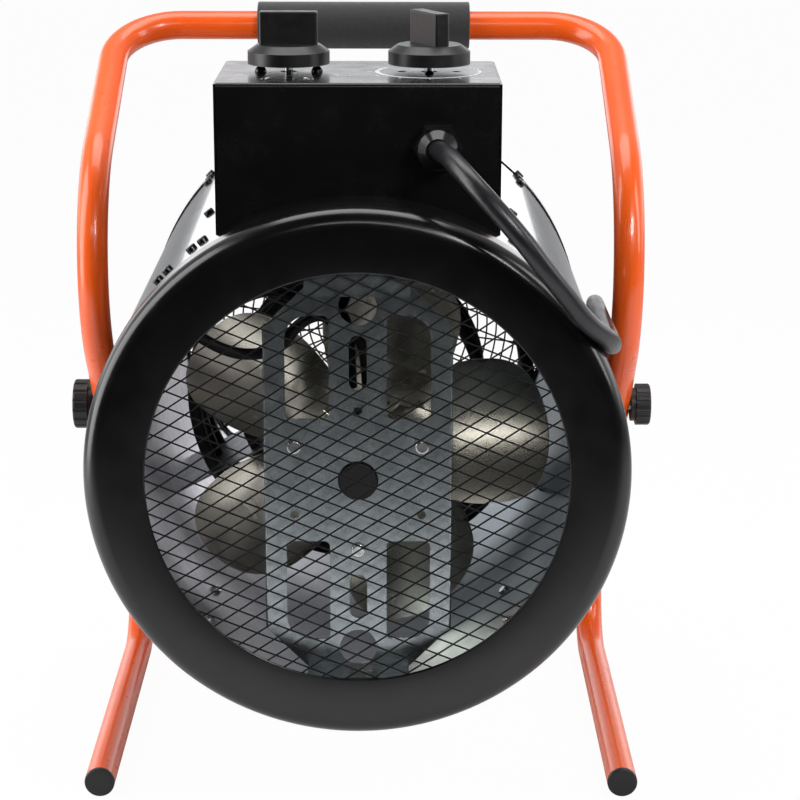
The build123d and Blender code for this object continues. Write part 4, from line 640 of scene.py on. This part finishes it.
def blade_bm(bm, angle):
    """One blade of the wheel, as a thin closed shell."""
    length_steps, width_steps = 36, 28
    rows = [[], []]
    turn = radians(-angle)
    for side in (0, 1):
        for i in range(length_steps + 1):
            s = 1 - (1 - i / length_steps) ** 1.6
            row = []
            along = blade_root + (fan_tip - blade_root) * s
            half = blade_half_width(along)
            pitch = radians(blade_pitch)
            flat = 1 - 0.6 * max(0.0, 1 - s * 3.2) ** 1.5
            for j in range(width_steps + 1):
                t = 2 * j / width_steps - 1
                across = half * t
                sag = blade_sag * (1 - (across / blade_half) ** 2)
                x = across * cos(pitch)
                y = (across * sin(pitch) - sag) * flat + (half_sheet if side else -half_sheet)
                xr = x * cos(turn) - along * sin(turn)
                zr = x * sin(turn) + along * cos(turn)
                row.append(bm.verts.new((xr * MM, (fan_y + y) * MM, (motor_z + zr) * MM)))
            rows[side].append(row)
    for side in (0, 1):
        for i in range(length_steps):
            for j in range(width_steps):
                a, b = rows[side][i], rows[side][i + 1]
                bm.faces.new((a[j], a[j + 1], b[j + 1], b[j]))
    for i in range(length_steps):
        for j in (0, width_steps):
            bm.faces.new((rows[0][i][j], rows[0][i + 1][j], rows[1][i + 1][j], rows[1][i][j]))
    for j in range(width_steps):
        for i in (0, length_steps):
            bm.faces.new((rows[0][i][j], rows[0][i][j + 1], rows[1][i][j + 1], rows[1][i][j]))


def make_fan():
    bm = bmesh.new()
    for k in range(5):
        blade_bm(bm, fan_first_angle + 72.0 * k)
    rings, segments = 26, 180
    sheets = []
    for side in (0, 1):
        sheet = []
        for i in range(rings + 1):
            radius = fan_bore + (fan_disc - fan_bore) * i / rings
            row = []
            for k in range(segments):
                a = 2 * pi * k / segments
                rib = max(0.0, cos(15 * a)) ** 6
                swell = sin(pi * min(1.0, max(0.0, (radius - 17) / 26.0)))
                lift = -2.2 * rib * swell
                dish = -1.6 * max(0.0, 1 - abs(radius - 17) / 5.0)
                row.append(bm.verts.new((radius * cos(a) * MM,
                        (fan_y + lift + dish + (half_sheet if side else -half_sheet)) * MM,
                                         (motor_z + radius * sin(a)) * MM)))
            sheet.append(row)
        sheets.append(sheet)
    for side in (0, 1):
        for i in range(rings):
            for k in range(segments):
                j = (k + 1) % segments
                a, b = sheets[side][i], sheets[side][i + 1]
                bm.faces.new((a[k], a[j], b[j], b[k]))
    for k in range(segments):
        j = (k + 1) % segments
        for i in (0, rings):
            bm.faces.new((sheets[0][i][k], sheets[0][i][j], sheets[1][i][j], sheets[1][i][k]))
    wheel = finish_piece("fan_blades", bm, "blade", "fan", angle=50)
    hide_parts("fan_wheel")


# ---- Motor leads, which loop in front of the fan: radius, then points ----------------
lead_paths = (
    (3.5, ((-107.0, -148.0, 346.0), (-100.1, -152.0, 337.4), (-91.3, -152.5, 331.0), (-81.3, -152.0, 325.6),
           (-70.0, -152.0, 322.4), (-56.3, -153.0, 323.2), (-47.0, -158.0, 328.5), (-41.7, -160.0, 334.0),
           (-37.0, -160.0, 340.0), (-30.0, -160.0, 345.6), (-22.0, -159.0, 347.5), (-14.0, -157.0, 343.0),
           (-5.0, -154.0, 336.0), (3.0, -150.0, 325.0), (6.0, -144.0, 292.0))),
    (4.6, ((-106.0, -146.0, 330.0), (-90.0, -148.0, 343.5), (-75.0, -148.0, 354.0), (-59.0, -148.0, 361.5),
           (-40.0, -148.0, 366.0), (-19.0, -148.0, 366.0), (2.0, -149.0, 361.0))),
    (4.2, ((-104.0, -139.0, 326.0), (-91.6, -140.0, 338.8), (-77.8, -141.0, 349.7), (-60.7, -141.0, 357.7),
           (-42.7, -142.0, 360.0), (-24.0, -142.0, 359.5), (-6.0, -145.0, 352.0))),
    (3.4, ((-61.5, -136.0, 384.0), (-60.5, -139.0, 369.0), (-52.0, -142.0, 361.0), (-40.0, -144.0, 356.0),
           (-24.0, -147.0, 353.0), (-8.0, -147.0, 342.0), (-4.0, -145.0, 300.0))),
)


def smooth_line(points, steps=8):
    """Catmull-Rom curve through given points."""
    spots = [Vector(p) for p in points]
    spots = [spots[0] * 2 - spots[1]] + spots + [spots[-1] * 2 - spots[-2]]
    made = []
    for a, b, c, d in zip(spots, spots[1:], spots[2:], spots[3:]):
        for k in range(steps):
            t = k / steps
            made.append(0.5 * ((2 * b) + (c - a) * t + (2 * a - 5 * b + 4 * c - d) * t ** 2
                               + (3 * b - a - 3 * c + d) * t ** 3))
    return made + [spots[-2]]


def make_leads():
    bm = bmesh.new()
    for radius, path in lead_paths:
        sweep_line(bm, smooth_line(path), radius, 12)
    leads = finish_piece("lead_wires", bm, "wire", "heater", angle=60)
    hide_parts("motor_leads")


# ---- Printed dials on the box's top: plain arcs and ticks ----------------------------
panel_top_z = 483.0
knob_x, knob_y = 42.3, -92.5
print_depth = 0.06
print_seat = 0.02
dot_radius = 0.7
mode_angles = (-150, -110, -70, -30)


def flat_mark(bm, outline):
    """Thin printed patch from plan points (x, y)."""
    low = [bm.verts.new((x * MM, y * MM, (panel_top_z - print_seat) * MM)) for x, y in outline]
    high = [bm.verts.new((x * MM, y * MM, (panel_top_z + print_depth) * MM)) for x, y in outline]
    bm.faces.new(high)
    bm.faces.new(low[::-1])
    for k in range(len(outline)):
        j = (k + 1) % len(outline)
        bm.faces.new((low[k], low[j], high[j], high[k]))


def dial_arc(bm, centre_x, inner, outer, start, end, taper=1.0):
    """Printed arc round a knob, which narrows to the share taper at its end."""
    steps = 40
    for k in range(steps):
        corners = []
        for part, radius in ((k, inner), (k + 1, inner), (k + 1, outer), (k, outer)):
            angle = radians(start + (end - start) * part / steps)
            width = (outer - inner) * (1 - taper) * part / steps if radius == outer else 0.0
            corners.append((centre_x + (radius - width) * cos(angle),
                            knob_y + (radius - width) * sin(angle)))
        flat_mark(bm, corners)


def make_prints():
    bm = bmesh.new()
    dial_arc(bm, knob_x, 30.0, 33.0, -215, 35, 0.35)
    for angle in range(-210, 31, 30):
        a = radians(angle)
        c, s = cos(a), sin(a)
        flat_mark(bm, [(knob_x + r * c - w * s, knob_y + r * s + w * c)
                       for r, w in ((34.5, -0.4), (37.0, -0.4), (37.0, 0.4), (34.5, 0.4))])
    for angle in mode_angles:
        a = radians(angle)
        c, s = cos(a), sin(a)
        flat_mark(bm, [(-knob_x + r * c - w * s, knob_y + r * s + w * c)
                       for r, w in ((31.0, -0.7), (35.5, -0.7), (35.5, 0.7), (31.0, 0.7))])
    for k, angle in enumerate(mode_angles):
        a = radians(angle)
        for dot in range(k + 1):
            x = -knob_x + 38.5 * cos(a) + (dot - k / 2) * 2.4
            y = knob_y + 38.5 * sin(a)
            flat_mark(bm, [(x + dot_radius * cos(b), y + dot_radius * sin(b))
                           for b in (2 * pi * i / 10 for i in range(10))])
    finish_piece("dial_prints", bm, "print", "heater", smooth=False)


# ---- Cord ----------------------------------------------------------------------------
near_points = (
    (46.2, -165.1, 447.0), (50.6, -182.4, 447.6), (56.3, -200.6, 444.0), (65.9, -216.1, 435.3),
    (78.1, -225.2, 423.2), (92.1, -228.6, 407.4), (106.3, -225.0, 388.5), (119.6, -217.4, 371.1),
    (131.8, -210.2, 354.3), (144.9, -195.0, 342.6), (149.6, -174.5, 333.3), (150.4, -148.7, 328.5),
    (153.5, -116.0, 324.0), (153.4, -78.0, 322.5), (153.4, -39.0, 322.0), (154.0, 0.0, 320.5),
)
rear_points = (
    (161.0, 29.0, 303.0), (167.5, 50.0, 276.0), (171.0, 68.0, 246.0), (172.0, 90.0, 214.0),
    (172.0, 117.0, 185.0), (172.0, 147.0, 154.0), (172.0, 176.0, 121.0), (171.5, 199.0, 88.0),
    (168.0, 214.0, 58.0), (159.0, 222.5, 35.0), (143.0, 228.5, 18.5), (122.0, 231.5, 9.6),
    (96.0, 232.6, 7.2),
)
coil_centre = (40.0, 305.0)
coil_pitch = 12.3
coil_outer = 72.0
coil_floor_turns = 1.5
coil_turns = 3.0
coil_base_z = 6.75
plug_centre_z = 31.5
tail_points = ((-5.0, 240.5, 23.0), (-25.0, 247.0, 28.5), (-41.0, 258.5, plug_centre_z),
               (-55.0, 273.5, plug_centre_z))


def coil_spot(turns):
    inner = coil_outer - coil_pitch * coil_floor_turns
    if turns <= coil_floor_turns:
        return coil_outer - coil_pitch * turns, coil_base_z
    if turns <= coil_floor_turns + 0.5:
        part = (turns - coil_floor_turns) / 0.5
        return inner - coil_pitch / 4 * sin(pi * part), coil_base_z + coil_pitch * (1 - cos(pi * part)) / 2
    return inner + coil_pitch * (turns - coil_floor_turns - 0.5), coil_base_z + coil_pitch


def coil_point(turns, swell=1.0):
    radius, z = coil_spot(turns)
    angle = -pi / 2 - 2 * pi * turns
    return (coil_centre[0] + radius * swell * cos(angle), coil_centre[1] + radius * swell * sin(angle), z)


def cord_route(name, points):
    """One open NURBS spline through the scene, with the route's points in millimetres."""
    data = bpy.data.curves.new(name, "CURVE")
    data.dimensions = "3D"
    data.resolution_u = 10
    spline = data.splines.new("NURBS")
    spline.points.add(len(points) - 1)
    for point, spot in zip(spline.points, points):
        point.co = (*[c * MM for c in spot], 1.0)
    spline.order_u = 3
    spline.use_endpoint_u = True
    curve = bpy.data.objects.new(name, data)
    scene.collection.objects.link(curve)
    bpy.context.view_layer.update()
    line = bpy.data.meshes.new_from_object(curve)
    route = [v.co.copy() for v in line.vertices]
    bpy.data.objects.remove(curve)
    bpy.data.meshes.remove(line)
    return route


def make_cord():
    per_turn = 16
    count = int(coil_turns * per_turn)
    swell = 1 / cos(pi / per_turn) ** 0.5
    turns = [coil_point(k / per_turn, swell) for k in range(count + 1)]
    first = Vector(turns[0])
    before = (first.x + 26.0, first.y - 0.8, first.z)
    last = Vector(turns[-1])
    after = (last.x - 22.0, last.y - 0.7, last.z)
    points = list(near_points) + list(rear_points) + [before] + turns + [after] + list(tail_points)
    route = cord_route("cord_route", points)
    bm = bmesh.new()
    sweep_line(bm, [spot / MM for spot in route], cord_radius, 20)
    mesh = bpy.data.meshes.new("mains_cord")
    bmesh.ops.recalc_face_normals(bm, faces=bm.faces)
    bm.to_mesh(mesh)
    bm.free()
    for face in mesh.polygons:
        face.use_smooth = True
    mesh.set_sharp_from_angle(angle=radians(60))
    mesh.materials.append(M["cord"])
    cord = bpy.data.objects.new("mains_cord", mesh)
    scene.collection.objects.link(cord)
    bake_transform(cord)
    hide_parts("cord_near_stretch", "cord_rear_stretch", "cord_coil", "cord_tail")


make_ring()
make_mesh()
make_grille()
make_fan()
make_leads()
make_prints()
make_cord()
